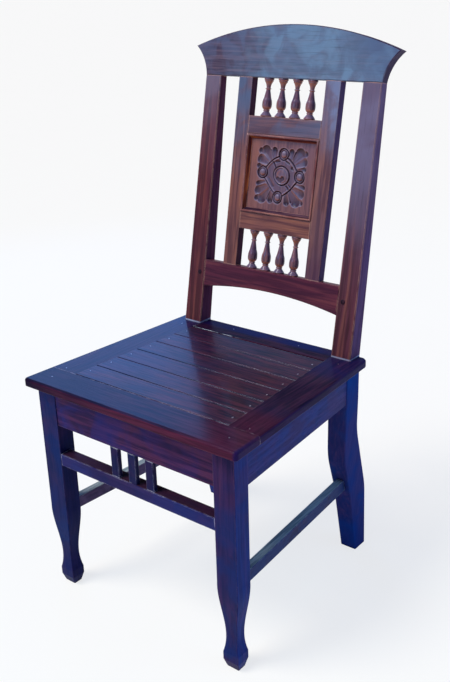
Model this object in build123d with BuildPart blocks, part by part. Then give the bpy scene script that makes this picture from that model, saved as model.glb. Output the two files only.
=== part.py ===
from build123d import *
import math
import os

# A wooden dining chair with a slatted seat, a carved back panel and turned balusters.
# Millimetres. +Z is up, the front of the chair faces -Y, and +X is its right as seen from the front.
# The origin is on the floor, under the middle of the chair's outer box.

# Seat
seat_width = 480.0
seat_depth = 423.0
seat_height = 433.0
seat_thickness = 16.0
seat_edge_radius = 5.0
seat_under_edge_radius = 2.5
seat_corner_ease = 2.0
seat_rear_corner_radius = 12.0
seat_rear_overhang = 19.0
front_board_depth = 65.0
rear_board_depth = 54.0
side_board_width = 62.0
slat_count = 6
slat_gap = 1.6
slat_ease = 0.8
vent_gap = 4.0
lap_length = 20.0
lap_thickness = 8.0

# Front legs
leg_width = 43.0
leg_depth = 35.0
leg_front_inset = 16.5
leg_side_inset = 17.5
leg_straight_end = 172.0
calf_height = 115.0
calf_width = 33.5
calf_depth = 28.0
ankle_height = 60.0
ankle_width = 23.5
ankle_depth = 22.0
foot_height = 31.0
foot_width = 32.5
foot_depth = 29.0
sole_rise = 16.0
sole_width = 25.0
sole_depth = 18.0

# Back posts, each one piece with its rear leg
back_inside_width = 312.0
post_width = 41.0
post_top_width = 36.5
post_foot_width = 34.0
post_depth = 35.0
post_top_depth = 20.0
post_notch = 32.0
post_notch_gap = 0.6
rake = 10.7
rake_start = 37.0
sweep_front_height = 228.0
sweep_rear_height = 282.0
knee_front_height = 152.0
knee_front_back = 25.0
knee_rear_height = 142.0
knee_rear_back = 41.0
rear_foot_back = 57.5
rear_foot_depth = 36.5
sweep_radius = 140.0
post_taper_radius = 1500.0

# Aprons under the seat
apron_height = 70.0
apron_thickness = 20.0
apron_setback = 2.0
rear_apron_setback = 8.0
apron_tenon_length = 18.0
apron_tenon_thickness = 8.0
apron_tenon_shoulder = 9.0

# Stretchers and the short bars in the front
front_stretcher_height = 24.0
front_stretcher_depth = 24.0
front_stretcher_setback = 1.0
side_stretcher_bottom = 152.0
side_stretcher_height = 24.0
side_stretcher_width = 16.0
stretcher_tenon_length = 16.0
stretcher_tenon_shoulder = 4.0
bar_count = 3
bar_length = 56.5
bar_width = 18.0
bar_depth = 9.0
bar_pitch = 40.5
bar_tenon_length = 8.0
bar_tenon_shoulder = 2.5

# Back: heights are measured up the raked front of the posts, from the seat's top
lower_rail_gap = 77.0
lower_rail_height = 54.0
lower_rail_arch = 15.0
lower_rail_thickness = 20.0
lower_rail_setback = 0.5
lower_opening = 73.5
panel_rail_height = 33.0
panel_opening_height = 146.5
panel_opening_width = 161.0
upper_opening = 69.5
stile_width = 31.5
frame_thickness = 18.0
frame_setback = 1.0
crest_height = 94.0
crest_thickness = 20.0
ear_height = 53.5
ear_reach = 29.0
ear_hollow = 6.0
back_tenon_length = 24.0
back_tenon_thickness = 8.0
back_tenon_shoulder = 6.0

# Carved panel and its bead
panel_recess = 6.5
panel_thickness = 7.0
panel_tongue = 6.0
panel_groove_setback = 1.0
bead_width = 9.0
bead_proud = 2.5
bead_round = 1.2
bead_slope_width = 5.0
bead_slope_depth = 6.0
carving_margin = 22.0
carving_depth = 3.0
rosette_radius = 16.5
rosette_eye_radius = 6.0
button_radius = 9.4
button_across = 41.5
button_up = 40.0
lozenge_width = 5.0

# Turned balusters
baluster_count = 4
baluster_base_radius = 9.0
baluster_base_height = 2.0
baluster_waist_radius = 5.5
baluster_waist_rise = 10.0
baluster_belly_radius = 9.5
baluster_belly_rise = 20.5
baluster_neck_radius = 4.3
baluster_ring_radius = 5.6
baluster_ring_height = 2.6
baluster_ring_drop = 22.5
baluster_cup_radius = 8.8
baluster_cup_height = 3.5
baluster_tenon_radius = 3.5
baluster_tenon_length = 9.0

# Corner blocks and fasteners
block_height = 30.0
block_drop = 3.0
block_reach = 40.0
screw_radius = 2.0
screw_bite = 14.0
screw_head_radius = 4.5
screw_head_height = 2.5
pin_radius = 1.1
pin_bite = 5.0
board_pin_bite = 14.0
peg_radius = 3.0
peg_length = 22.0
peg_proud = 0.3

# Eased edges of the frame's pieces; an edge no longer than short_edge is left sharp
edge_ease = 1.5
short_edge = 6.0

# Fits
tenon_fit = 0.15
tenon_end_gap = 1.0
board_fit = 0.2
round_fit = 0.05

# Rake as a direction
rake_sin = math.sin(math.radians(rake))
rake_cos = math.cos(math.radians(rake))
rake_tan = rake_sin / rake_cos

# Stack of the back, up the rake
lower_rail_top = lower_rail_gap + lower_rail_height
lower_panel_rail_bottom = lower_rail_top + lower_opening
panel_bottom = lower_panel_rail_bottom + panel_rail_height
panel_top = panel_bottom + panel_opening_height
upper_panel_rail_top = panel_top + panel_rail_height
crest_bottom = upper_panel_rail_top + upper_opening
crest_top = crest_bottom + crest_height
ear_tip = crest_bottom + ear_height

# Places along Y
crest_reach = (crest_top - edge_ease) * rake_sin + crest_thickness * rake_cos
overall_depth = seat_depth - post_notch + crest_reach
seat_front_y = -overall_depth / 2
seat_rear_y = seat_front_y + seat_depth
leg_front_y = seat_front_y + leg_front_inset
leg_rear_y = leg_front_y + leg_depth
leg_middle_y = leg_front_y + leg_depth / 2
post_front_y = seat_rear_y - post_notch
post_rear_y = post_front_y + post_depth
rear_leg_front_y = post_front_y - rake_start * rake_tan
front_board_rear_y = seat_front_y + front_board_depth
rear_board_front_y = seat_rear_y - rear_board_depth

# Places along X, for the right half
leg_outer_x = seat_width / 2 - leg_side_inset
leg_inner_x = leg_outer_x - leg_width
leg_middle_x = leg_outer_x - leg_width / 2
post_inner_x = back_inside_width / 2
post_outer_x = post_inner_x + post_width
post_top_outer_x = post_inner_x + post_top_width
stile_inner_x = panel_opening_width / 2
stile_outer_x = stile_inner_x + stile_width
seat_rear_half = post_outer_x + seat_rear_overhang
seat_taper = (seat_width / 2 - seat_rear_half) / seat_depth
side_taper = (leg_outer_x - post_outer_x) / (rear_leg_front_y - leg_rear_y)

# Places along Z
seat_bottom = seat_height - seat_thickness
lap_top = seat_bottom + lap_thickness
apron_bottom = seat_bottom - apron_height
front_stretcher_top = apron_bottom - bar_length
front_stretcher_bottom = front_stretcher_top - front_stretcher_height
side_stretcher_top = side_stretcher_bottom + side_stretcher_height

# Depths behind the posts' raked front
frame_rear = frame_setback + frame_thickness
frame_middle = frame_setback + frame_thickness / 2
panel_front = frame_setback + panel_recess
back_plane = Plane(
    origin=(0, post_front_y, seat_height), x_dir=(1, 0, 0), z_dir=(0, -rake_cos, rake_sin)
)

os.makedirs("parts", exist_ok=True)


def write(piece, node):
    """Labels a finished piece and writes it as its own file."""
    piece.part.label = node
    export_step(piece.part, f"parts/{node}.step")


def block(x_span, y_span, z_span, grow=0.0, mode=Mode.ADD):
    """A square block over three spans, grown all round by the given fit."""
    spans = (x_span, y_span, z_span)
    with Locations(tuple(sum(span) / 2 for span in spans)):
        Box(*[span[1] - span[0] + 2 * grow for span in spans], mode=mode)


def back_block(x_span, rise_span, depth_span, grow=0.0, mode=Mode.ADD):
    """A square block in the raked back: across, up the rake, and back from the posts' front."""
    centre = Location((sum(x_span) / 2, sum(rise_span) / 2, -sum(depth_span) / 2))
    with Locations(back_plane.location * centre):
        Box(*[span[1] - span[0] + 2 * grow for span in (x_span, rise_span, depth_span)], mode=mode)


def plan_prism(points, z_span, mode=Mode.ADD):
    """An upright prism on a plan outline."""
    with BuildSketch(Plane.XY.offset(z_span[0])) as plan:
        with BuildLine():
            Polyline(*points, close=True)
        make_face()
    extrude(plan.sketch, amount=z_span[1] - z_span[0], mode=mode)


def strip(centre_x, half_width, y_span):
    """Plan outline of a strip that follows a slanting line between two places along Y."""
    near, far = y_span
    return [
        (centre_x(near) - half_width, near),
        (centre_x(near) + half_width, near),
        (centre_x(far) + half_width, far),
        (centre_x(far) - half_width, far),
    ]


def seat_edge_x(y):
    """Outer edge of the seat, which narrows towards the back."""
    return seat_width / 2 - seat_taper * (y - seat_front_y)


def opening_edge_x(y):
    """Inner edge of the side boards, where the slats end."""
    return seat_edge_x(y) - side_board_width


def side_apron_x(y):
    """Middle of a side apron, which runs from the front leg to the back post."""
    return leg_outer_x - apron_setback - apron_thickness / 2 - side_taper * (y - leg_rear_y)


def side_stretcher_x(y):
    """Middle of a side stretcher."""
    post_middle_x = post_inner_x + post_width / 2
    slope = (leg_middle_x - post_middle_x) / (rear_leg_front_y - leg_rear_y)
    return leg_middle_x - slope * (y - leg_rear_y)


def seat_outline(y_span):
    """Plan outline across the whole seat between two places along Y."""
    near, far = y_span
    return [
        (-seat_edge_x(near), near),
        (seat_edge_x(near), near),
        (seat_edge_x(far), far),
        (-seat_edge_x(far), far),
    ]


def opening_outline(y_span, inset):
    """Plan outline between the side boards, drawn in at both ends."""
    near, far = y_span
    return [
        (inset - opening_edge_x(near), near),
        (opening_edge_x(near) - inset, near),
        (opening_edge_x(far) - inset, far),
        (inset - opening_edge_x(far), far),
    ]


# Spans that a tenon and its mortise share
apron_tenon_z = (apron_bottom + apron_tenon_shoulder, seat_bottom - apron_tenon_shoulder)
front_apron_y = (leg_front_y + apron_setback, leg_front_y + apron_setback + apron_thickness)
front_apron_middle_y = sum(front_apron_y) / 2
front_apron_tenon_y = (
    front_apron_middle_y - apron_tenon_thickness / 2,
    front_apron_middle_y + apron_tenon_thickness / 2,
)
front_apron_tenon_x = (leg_inner_x, leg_inner_x + apron_tenon_length)
rear_apron_y = (
    rear_leg_front_y + rear_apron_setback,
    rear_leg_front_y + rear_apron_setback + apron_thickness,
)
rear_apron_middle_y = sum(rear_apron_y) / 2
rear_apron_tenon_y = (
    rear_apron_middle_y - apron_tenon_thickness / 2,
    rear_apron_middle_y + apron_tenon_thickness / 2,
)
rear_apron_tenon_x = (post_inner_x, post_inner_x + apron_tenon_length)
side_apron_tenon_y = (leg_rear_y - apron_tenon_length, rear_leg_front_y + apron_tenon_length)

front_stretcher_y = (
    leg_front_y + front_stretcher_setback,
    leg_front_y + front_stretcher_setback + front_stretcher_depth,
)
front_stretcher_tenon_x = (leg_inner_x, leg_inner_x + stretcher_tenon_length)
front_stretcher_tenon_y = (
    front_stretcher_y[0] + stretcher_tenon_shoulder,
    front_stretcher_y[1] - stretcher_tenon_shoulder,
)
front_stretcher_tenon_z = (
    front_stretcher_bottom + stretcher_tenon_shoulder,
    front_stretcher_top - stretcher_tenon_shoulder,
)
side_stretcher_tenon_half = side_stretcher_width / 2 - stretcher_tenon_shoulder
side_stretcher_tenon_z = (
    side_stretcher_bottom + stretcher_tenon_shoulder,
    side_stretcher_top - stretcher_tenon_shoulder,
)
knee_front_y = rear_leg_front_y + knee_front_back
side_stretcher_tenon_y = (leg_rear_y - stretcher_tenon_length, knee_front_y + stretcher_tenon_length)

bar_y = (front_apron_y[0], front_apron_y[0] + bar_depth)
bar_tenon_y = (bar_y[0] + bar_tenon_shoulder, bar_y[1] - bar_tenon_shoulder)
bar_tenon_half = bar_width / 2 - bar_tenon_shoulder
bar_tenon_z = (front_stretcher_top - bar_tenon_length, apron_bottom + bar_tenon_length)
bar_places = [(index - (bar_count - 1) / 2) * bar_pitch for index in range(bar_count)]

back_tenon_depth = (
    frame_middle - back_tenon_thickness / 2,
    frame_middle + back_tenon_thickness / 2,
)
post_tenon_x = (post_inner_x + back_tenon_shoulder, post_top_outer_x - back_tenon_shoulder)
post_tenon_rise = (crest_bottom, crest_bottom + back_tenon_length)
stile_tenon_x = (stile_inner_x + back_tenon_shoulder, stile_outer_x - back_tenon_shoulder)
stile_tenon_rise = (lower_rail_top - back_tenon_length, crest_bottom + back_tenon_length)
lower_rail_tenon_x = (post_inner_x, post_inner_x + back_tenon_length)
lower_rail_tenon_rise = (lower_rail_gap + back_tenon_shoulder, lower_rail_top - back_tenon_shoulder)
lower_rail_tenon_depth = (
    lower_rail_setback + (lower_rail_thickness - back_tenon_thickness) / 2,
    lower_rail_setback + (lower_rail_thickness + back_tenon_thickness) / 2,
)
groove_reach = panel_tongue + tenon_end_gap
panel_rail_tenon_x = (stile_inner_x, stile_outer_x - back_tenon_shoulder)
lower_panel_rail_tenon_rise = (
    lower_panel_rail_bottom + back_tenon_shoulder,
    panel_bottom - groove_reach - tenon_end_gap,
)
upper_panel_rail_tenon_rise = (
    panel_top + groove_reach + tenon_end_gap,
    upper_panel_rail_top - back_tenon_shoulder,
)
tongue_depth = (panel_front + panel_groove_setback, panel_front + panel_thickness)
tongue_x = (-stile_inner_x - panel_tongue, stile_inner_x + panel_tongue)
tongue_rise = (panel_bottom - panel_tongue, panel_top + panel_tongue)
groove_x = (-stile_inner_x - groove_reach, stile_inner_x + groove_reach)
groove_rise = (panel_bottom - groove_reach, panel_top + groove_reach)

baluster_pitch = panel_opening_width / (baluster_count + 1)
baluster_places = [
    (index + 1) * baluster_pitch - stile_inner_x for index in range(baluster_count)
]


def baluster_holes(rise_span):
    """Round mortises for a row of balusters, over a span up the rake."""
    hole_depth = rise_span[1] - rise_span[0]
    for place in baluster_places:
        mouth = Location((place, sum(rise_span) / 2, -frame_middle), (90, 0, 0))
        with Locations(back_plane.location * mouth):
            Cylinder(baluster_tenon_radius + round_fit, hole_depth, mode=Mode.SUBTRACT)


# Corner screws run level at 45 degrees through the corner block into the leg or the post
screw_z = seat_bottom - block_drop - block_height / 2
diagonal = math.sqrt(0.5)


def corner_block_plan(corner, wall_y, inward):
    """Plan of a right-hand corner block that wraps the inner corner of a leg or a post.

    corner is that inner corner, wall_y the inner face of the front or rear apron, and inward is 1
    where the block reaches towards the back of the chair and -1 where it reaches towards the front.
    """
    corner_x, corner_y = corner
    clear_x = corner_x - board_fit
    clear_y = corner_y + inward * board_fit
    start_x = corner_x - block_reach

    def side_wall_x(y):
        return side_apron_x(y) - apron_thickness / 2

    run = (side_wall_x(wall_y) - start_x) / (1 + inward * side_taper)
    end_y = wall_y + inward * run
    return [
        (clear_x, wall_y),
        (start_x, wall_y),
        (side_wall_x(end_y), end_y),
        (side_wall_x(clear_y), clear_y),
        (clear_x, clear_y),
    ]


def screw_seat(corner, wall_y, inward):
    """Where a corner screw's head bears on its block, and how much of the block it goes through."""
    corner_x, corner_y = corner
    offset = inward * (corner_y - wall_y)
    through = (block_reach - offset) * diagonal
    seat_x = corner_x - through * diagonal
    seat_y = corner_y + inward * through * diagonal
    return seat_x, seat_y, through


def screw_plane(corner, wall_y, inward):
    """Plane square to a corner screw, at its head's seat and facing into the leg or the post."""
    seat_x, seat_y = screw_seat(corner, wall_y, inward)[:2]
    return Plane(
        origin=(seat_x, seat_y, screw_z), x_dir=(0, 0, 1), z_dir=(diagonal, -inward * diagonal, 0)
    )


front_corner = ((leg_inner_x, leg_rear_y), front_apron_y[1], 1)
rear_corner = ((post_inner_x, rear_leg_front_y), rear_apron_y[0], -1)


def screw_hole(corner):
    """Clearance hole for a corner screw, through its block and into the leg or the post."""
    through = screw_seat(*corner)[2]
    with BuildSketch(screw_plane(*corner)) as mouth:
        Circle(screw_radius + round_fit)
    extrude(mouth.sketch, amount=through + screw_bite + tenon_end_gap, mode=Mode.SUBTRACT)


def pin_hole(x, y, top, depth):
    """Hole for a seat pin, downwards from a given height."""
    with Locations((x, y, top)):
        Hole(pin_radius + round_fit, depth)


# Seat pins: one through each slat end, and the boards' own into the legs and the aprons
slat_room = rear_board_front_y - vent_gap - front_board_rear_y
slat_width = slat_room / slat_count - slat_gap
slat_spans = []
for index in range(slat_count):
    slat_start = front_board_rear_y + slat_gap + index * (slat_width + slat_gap)
    slat_spans.append((slat_start, slat_start + slat_width))
slat_pin_places = []
for near, far in slat_spans:
    pin_y = (near + far) / 2
    slat_pin_places.append((opening_edge_x(pin_y) - lap_length / 2, pin_y))
side_pin_ys = (front_board_rear_y + lap_length / 2, rear_board_front_y)
side_pin_places = [(side_apron_x(y), y) for y in side_pin_ys]
leg_pin_place = (leg_middle_x, leg_middle_y)
rear_pin_place = (post_inner_x / 2, rear_apron_middle_y)
board_pin_depth = seat_thickness + board_pin_bite

# Pegs that lock the lower rail's tenons, driven square to the raked front of the posts
peg_x = post_inner_x + back_tenon_length / 2
peg_rise = lower_rail_gap + lower_rail_height / 2


def peg_location(side):
    """Middle of a peg, with its axis square to the raked front."""
    return back_plane.location * Location((side * peg_x, peg_rise, peg_proud - peg_length / 2))


def peg_hole(side=1):
    """Hole for a peg, through the post's front and the rail's tenon."""
    with Locations(peg_location(side)):
        Cylinder(peg_radius + round_fit, peg_length + 2 * tenon_end_gap, mode=Mode.SUBTRACT)


post_notch_x = (post_inner_x - post_notch_gap, post_outer_x + post_notch_gap)


def post_front_at(z):
    """Front of the raked post at a given height."""
    return post_front_y + (z - seat_height) * rake_tan


def cut_post_notch(x_span):
    """Notch that lets a post through the seat, open at the back and raked as the post is."""
    past_rear = seat_rear_y + post_depth
    below = seat_bottom - tenon_end_gap
    above = seat_height + tenon_end_gap
    with BuildSketch(Plane.YZ.offset(x_span[0])) as notch:
        with BuildLine():
            Polyline(
                (post_front_at(below) - post_notch_gap, below),
                (post_front_at(above) - post_notch_gap, above),
                (past_rear, above),
                (past_rear, below),
                close=True,
            )
        make_face()
    extrude(notch.sketch, amount=x_span[1] - x_span[0], mode=Mode.SUBTRACT)


def slanted_mortise(centre_x, half_width, y_span, z_span):
    """Mortise for a tenon that follows a slanting line, cut with its fit all round and at its ends."""
    plan_prism(
        strip(centre_x, half_width + tenon_fit, (y_span[0] - tenon_end_gap, y_span[1] + tenon_end_gap)),
        (z_span[0] - tenon_fit, z_span[1] + tenon_fit),
        Mode.SUBTRACT,
    )


def rising_edges(piece):
    """Edges of a leg or a post that run up it, without those across its ends."""
    return piece.edges().filter_by(lambda edge: edge.bounding_box().size.Z > short_edge)


def edges_across(piece):
    """Edges of a rail that run across the chair, without those at its ends."""
    return piece.edges().filter_by(lambda edge: edge.bounding_box().size.X > short_edge)


# Front legs: square above, drawn in through a calf to an ankle, then flared to a block foot
calf_sections = (
    (leg_straight_end, leg_width, leg_depth),
    (calf_height, calf_width, calf_depth),
    (ankle_height, ankle_width, ankle_depth),
    (foot_height, foot_width, foot_depth),
)
foot_sections = (
    (foot_height, foot_width, foot_depth),
    (sole_rise, foot_width, foot_depth),
    (0, sole_width, sole_depth),
)
with BuildPart() as leg_blank:
    with BuildSketch(Plane((leg_middle_x, leg_middle_y, leg_straight_end))):
        RectangleRounded(leg_width, leg_depth, edge_ease)
    extrude(amount=seat_bottom - leg_straight_end)
    for height, width, depth in calf_sections:
        with BuildSketch(Plane((leg_middle_x, leg_middle_y, height))):
            RectangleRounded(width, depth, edge_ease)
    loft()
    for height, width, depth in foot_sections:
        with BuildSketch(Plane((leg_middle_x, leg_middle_y, height))):
            RectangleRounded(width, depth, edge_ease)
    loft(ruled=True)

with BuildPart() as front_leg_right:
    add(leg_blank.part)
    block(
        (leg_inner_x - tenon_end_gap, front_apron_tenon_x[1] + tenon_end_gap),
        front_apron_tenon_y,
        apron_tenon_z,
        tenon_fit,
        Mode.SUBTRACT,
    )
    block(
        (leg_inner_x - tenon_end_gap, front_stretcher_tenon_x[1] + tenon_end_gap),
        front_stretcher_tenon_y,
        front_stretcher_tenon_z,
        tenon_fit,
        Mode.SUBTRACT,
    )
    slanted_mortise(
        side_apron_x, apron_tenon_thickness / 2, (side_apron_tenon_y[0], leg_rear_y), apron_tenon_z
    )
    slanted_mortise(
        side_stretcher_x,
        side_stretcher_tenon_half,
        (side_stretcher_tenon_y[0], leg_rear_y),
        side_stretcher_tenon_z,
    )
    screw_hole(front_corner)
    pin_hole(*leg_pin_place, seat_height, board_pin_depth)
write(front_leg_right, "front_leg_right")

with BuildPart() as front_leg_left:
    mirror(front_leg_right.part, about=Plane.YZ)
write(front_leg_left, "front_leg_left")

# Back posts: the rear leg sweeps back to the floor, and the post leans back above the seat
post_top_y = post_front_y + crest_bottom * rake_sin
post_top_z = seat_height + crest_bottom * rake_cos
rear_foot_front_y = rear_leg_front_y + rear_foot_back
with BuildPart() as post_blank:
    with BuildSketch(Plane.YZ.offset(post_inner_x)) as post_side:
        with BuildLine():
            Polyline(
                (post_top_y, post_top_z),
                (rear_leg_front_y, seat_height - rake_start),
                (rear_leg_front_y, sweep_front_height),
                (knee_front_y, knee_front_height),
                (rear_foot_front_y, 0),
                (rear_foot_front_y + rear_foot_depth, 0),
                (post_rear_y + knee_rear_back, knee_rear_height),
                (post_rear_y, sweep_rear_height),
                (post_rear_y, seat_height),
                (post_top_y + post_top_depth * rake_cos, post_top_z - post_top_depth * rake_sin),
                close=True,
            )
        make_face()
        bends = post_side.vertices().filter_by_position(
            Axis.Y,
            min(knee_front_height, knee_rear_height),
            max(sweep_front_height, sweep_rear_height),
        )
        fillet(bends, sweep_radius)
    extrude(amount=post_width)
    with BuildSketch(Plane.XZ) as post_face:
        with BuildLine():
            Polyline(
                (post_inner_x, 0),
                (post_inner_x + post_foot_width, 0),
                (post_outer_x, apron_bottom),
                (post_outer_x, seat_height),
                (post_top_outer_x, post_top_z),
                (post_inner_x, post_top_z),
                close=True,
            )
        make_face()
        turns = post_face.vertices().filter_by_position(Axis.Y, apron_bottom, seat_height)
        fillet(turns, post_taper_radius)
    extrude(amount=overall_depth, both=True, mode=Mode.INTERSECT)
    chamfer(rising_edges(post_blank), edge_ease)

with BuildPart() as back_post_right:
    add(post_blank.part)
    back_block(
        post_tenon_x, (crest_bottom - back_tenon_shoulder, post_tenon_rise[1]), back_tenon_depth
    )
    back_block(
        (post_inner_x - tenon_end_gap, lower_rail_tenon_x[1] + tenon_end_gap),
        lower_rail_tenon_rise,
        lower_rail_tenon_depth,
        tenon_fit,
        Mode.SUBTRACT,
    )
    block(
        (post_inner_x - tenon_end_gap, rear_apron_tenon_x[1] + tenon_end_gap),
        rear_apron_tenon_y,
        apron_tenon_z,
        tenon_fit,
        Mode.SUBTRACT,
    )
    slanted_mortise(
        side_apron_x,
        apron_tenon_thickness / 2,
        (rear_leg_front_y, side_apron_tenon_y[1]),
        apron_tenon_z,
    )
    slanted_mortise(
        side_stretcher_x,
        side_stretcher_tenon_half,
        (rear_leg_front_y, side_stretcher_tenon_y[1]),
        side_stretcher_tenon_z,
    )
    screw_hole(rear_corner)
    peg_hole()
write(back_post_right, "back_post_right")

with BuildPart() as back_post_left:
    mirror(back_post_right.part, about=Plane.YZ)
write(back_post_left, "back_post_left")

# Aprons
with BuildPart() as front_apron:
    block((-leg_inner_x, leg_inner_x), front_apron_y, (apron_bottom, seat_bottom))
    fillet(edges_across(front_apron).group_by(Axis.Z)[0], edge_ease)
    block((-front_apron_tenon_x[1], front_apron_tenon_x[1]), front_apron_tenon_y, apron_tenon_z)
    for place in bar_places:
        block(
            (place - bar_tenon_half, place + bar_tenon_half),
            bar_tenon_y,
            (apron_bottom - tenon_end_gap, bar_tenon_z[1] + tenon_end_gap),
            tenon_fit,
            Mode.SUBTRACT,
        )
write(front_apron, "front_apron")

with BuildPart() as rear_apron:
    block((-post_inner_x, post_inner_x), rear_apron_y, (apron_bottom, seat_bottom))
    fillet(edges_across(rear_apron).group_by(Axis.Z)[0], edge_ease)
    block((-rear_apron_tenon_x[1], rear_apron_tenon_x[1]), rear_apron_tenon_y, apron_tenon_z)
    for side in (-1, 1):
        pin_hole(side * rear_pin_place[0], rear_pin_place[1], seat_height, board_pin_depth)
write(rear_apron, "rear_apron")

with BuildPart() as side_apron_right:
    plan_prism(
        strip(side_apron_x, apron_thickness / 2, (leg_rear_y, rear_leg_front_y)),
        (apron_bottom, seat_bottom),
    )
    lower_edges = side_apron_right.edges().group_by(Axis.Z)[0].sort_by(SortBy.LENGTH)[-2:]
    fillet(lower_edges, edge_ease)
    plan_prism(strip(side_apron_x, apron_tenon_thickness / 2, side_apron_tenon_y), apron_tenon_z)
    for place in side_pin_places:
        pin_hole(*place, seat_height, board_pin_depth)
write(side_apron_right, "side_apron_right")

with BuildPart() as side_apron_left:
    mirror(side_apron_right.part, about=Plane.YZ)
write(side_apron_left, "side_apron_left")

# Corner blocks behind the front legs and in front of the back posts, and their screws
block_top = seat_bottom - block_drop
for node, corner in (("corner_block_front", front_corner), ("corner_block_rear", rear_corner)):
    with BuildPart() as corner_block:
        plan_prism(corner_block_plan(*corner), (block_top - block_height, block_top))
        screw_hole(corner)
    write(corner_block, f"{node}_right")
    with BuildPart() as mirrored_block:
        mirror(corner_block.part, about=Plane.YZ)
    write(mirrored_block, f"{node}_left")

with BuildPart() as corner_screws:
    for corner in (front_corner, rear_corner):
        with BuildSketch(screw_plane(*corner)):
            Circle(screw_radius)
        extrude(amount=screw_seat(*corner)[2] + screw_bite)
        with BuildSketch(screw_plane(*corner)):
            Circle(screw_head_radius)
        extrude(amount=-screw_head_height)
    mirror(about=Plane.YZ)
write(corner_screws, "corner_screws")

# Front stretcher and the short bars between it and the front apron
with BuildPart() as front_stretcher:
    block((-leg_inner_x, leg_inner_x), front_stretcher_y, (front_stretcher_bottom, front_stretcher_top))
    fillet(edges_across(front_stretcher), edge_ease)
    block(
        (-front_stretcher_tenon_x[1], front_stretcher_tenon_x[1]),
        front_stretcher_tenon_y,
        front_stretcher_tenon_z,
    )
    for place in bar_places:
        block(
            (place - bar_tenon_half, place + bar_tenon_half),
            bar_tenon_y,
            (bar_tenon_z[0] - tenon_end_gap, front_stretcher_top + tenon_end_gap),
            tenon_fit,
            Mode.SUBTRACT,
        )
write(front_stretcher, "front_stretcher")

for index, place in enumerate(bar_places):
    with BuildPart() as front_bar:
        block(
            (place - bar_width / 2, place + bar_width / 2), bar_y, (front_stretcher_top, apron_bottom)
        )
        fillet(front_bar.edges().filter_by(Axis.Z), edge_ease)
        block((place - bar_tenon_half, place + bar_tenon_half), bar_tenon_y, bar_tenon_z)
    write(front_bar, f"front_bar_{index + 1}")

# Side stretchers: the shoulders are scribed to the front leg and to the swept rear leg
with BuildPart() as side_stretcher_right:
    plan_prism(
        strip(side_stretcher_x, side_stretcher_width / 2, side_stretcher_tenon_y),
        (side_stretcher_bottom, side_stretcher_top),
    )
    fillet(side_stretcher_right.edges().sort_by(SortBy.LENGTH)[-4:], edge_ease)
    add(leg_blank.part, mode=Mode.SUBTRACT)
    add(post_blank.part, mode=Mode.SUBTRACT)
    plan_prism(
        strip(side_stretcher_x, side_stretcher_tenon_half, side_stretcher_tenon_y),
        side_stretcher_tenon_z,
    )
write(side_stretcher_right, "side_stretcher_right")

with BuildPart() as side_stretcher_left:
    mirror(side_stretcher_right.part, about=Plane.YZ)
write(side_stretcher_left, "side_stretcher_left")

# Seat boards
with BuildPart() as seat_front_board:
    plan_prism(seat_outline((seat_front_y, front_board_rear_y)), (seat_bottom, seat_height))
    front_corners = seat_front_board.edges().filter_by(Axis.Z).group_by(Axis.Y)[0]
    fillet(front_corners, seat_edge_radius + seat_corner_ease)
    top_edges = seat_front_board.faces().sort_by(Axis.Z)[-1].edges().sort_by(Axis.Y)[:-1]
    fillet(top_edges, seat_edge_radius)
    under_edges = seat_front_board.faces().sort_by(Axis.Z)[0].edges().sort_by(Axis.Y)[:-1]
    fillet(under_edges, seat_under_edge_radius)
    for side in (-1, 1):
        pin_hole(side * leg_pin_place[0], leg_pin_place[1], seat_height, board_pin_depth)
write(seat_front_board, "seat_front_board")

with BuildPart() as seat_rear_board:
    plan_prism(
        opening_outline((rear_board_front_y, seat_rear_y), board_fit), (seat_bottom, seat_height)
    )
    rear_edge = seat_rear_board.edges().filter_by(Axis.X).group_by(Axis.Z)[-1].sort_by(Axis.Y)[-1]
    fillet(rear_edge, seat_edge_radius)
    for side in (-1, 1):
        cut_post_notch(sorted(side * x for x in post_notch_x))
        pin_hole(side * rear_pin_place[0], rear_pin_place[1], seat_height, board_pin_depth)
write(seat_rear_board, "seat_rear_board")


def side_board_middle_x(y):
    """Middle of a side board."""
    return seat_edge_x(y) - side_board_width / 2


def lap_middle_x(y):
    """Middle of the lip that carries the slat ends."""
    return opening_edge_x(y) - lap_length / 2


with BuildPart() as seat_side_board_right:
    plan_prism(
        strip(side_board_middle_x, side_board_width / 2, (front_board_rear_y, seat_rear_y)),
        (seat_bottom, seat_height),
    )
    rear_corner_edge = (
        seat_side_board_right.edges().filter_by(Axis.Z).group_by(Axis.Y)[-1].sort_by(Axis.X)[-1]
    )
    fillet(rear_corner_edge, seat_rear_corner_radius)
    fillet(
        seat_side_board_right.faces().sort_by(Axis.Z)[-1].edges().sort_by(Axis.X)[-1],
        seat_edge_radius,
    )
    fillet(
        seat_side_board_right.faces().sort_by(Axis.Z)[0].edges().sort_by(Axis.X)[-1],
        seat_under_edge_radius,
    )
    plan_prism(
        strip(lap_middle_x, lap_length / 2, (front_board_rear_y, rear_board_front_y - board_fit)),
        (seat_bottom, lap_top),
    )
    cut_post_notch((post_inner_x - side_board_width, post_notch_x[1]))
    for place in slat_pin_places:
        pin_hole(*place, lap_top, pin_bite + tenon_end_gap)
    for place in side_pin_places:
        pin_hole(*place, seat_height, board_pin_depth)
write(seat_side_board_right, "seat_side_board_right")

with BuildPart() as seat_side_board_left:
    mirror(seat_side_board_right.part, about=Plane.YZ)
write(seat_side_board_left, "seat_side_board_left")

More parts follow.
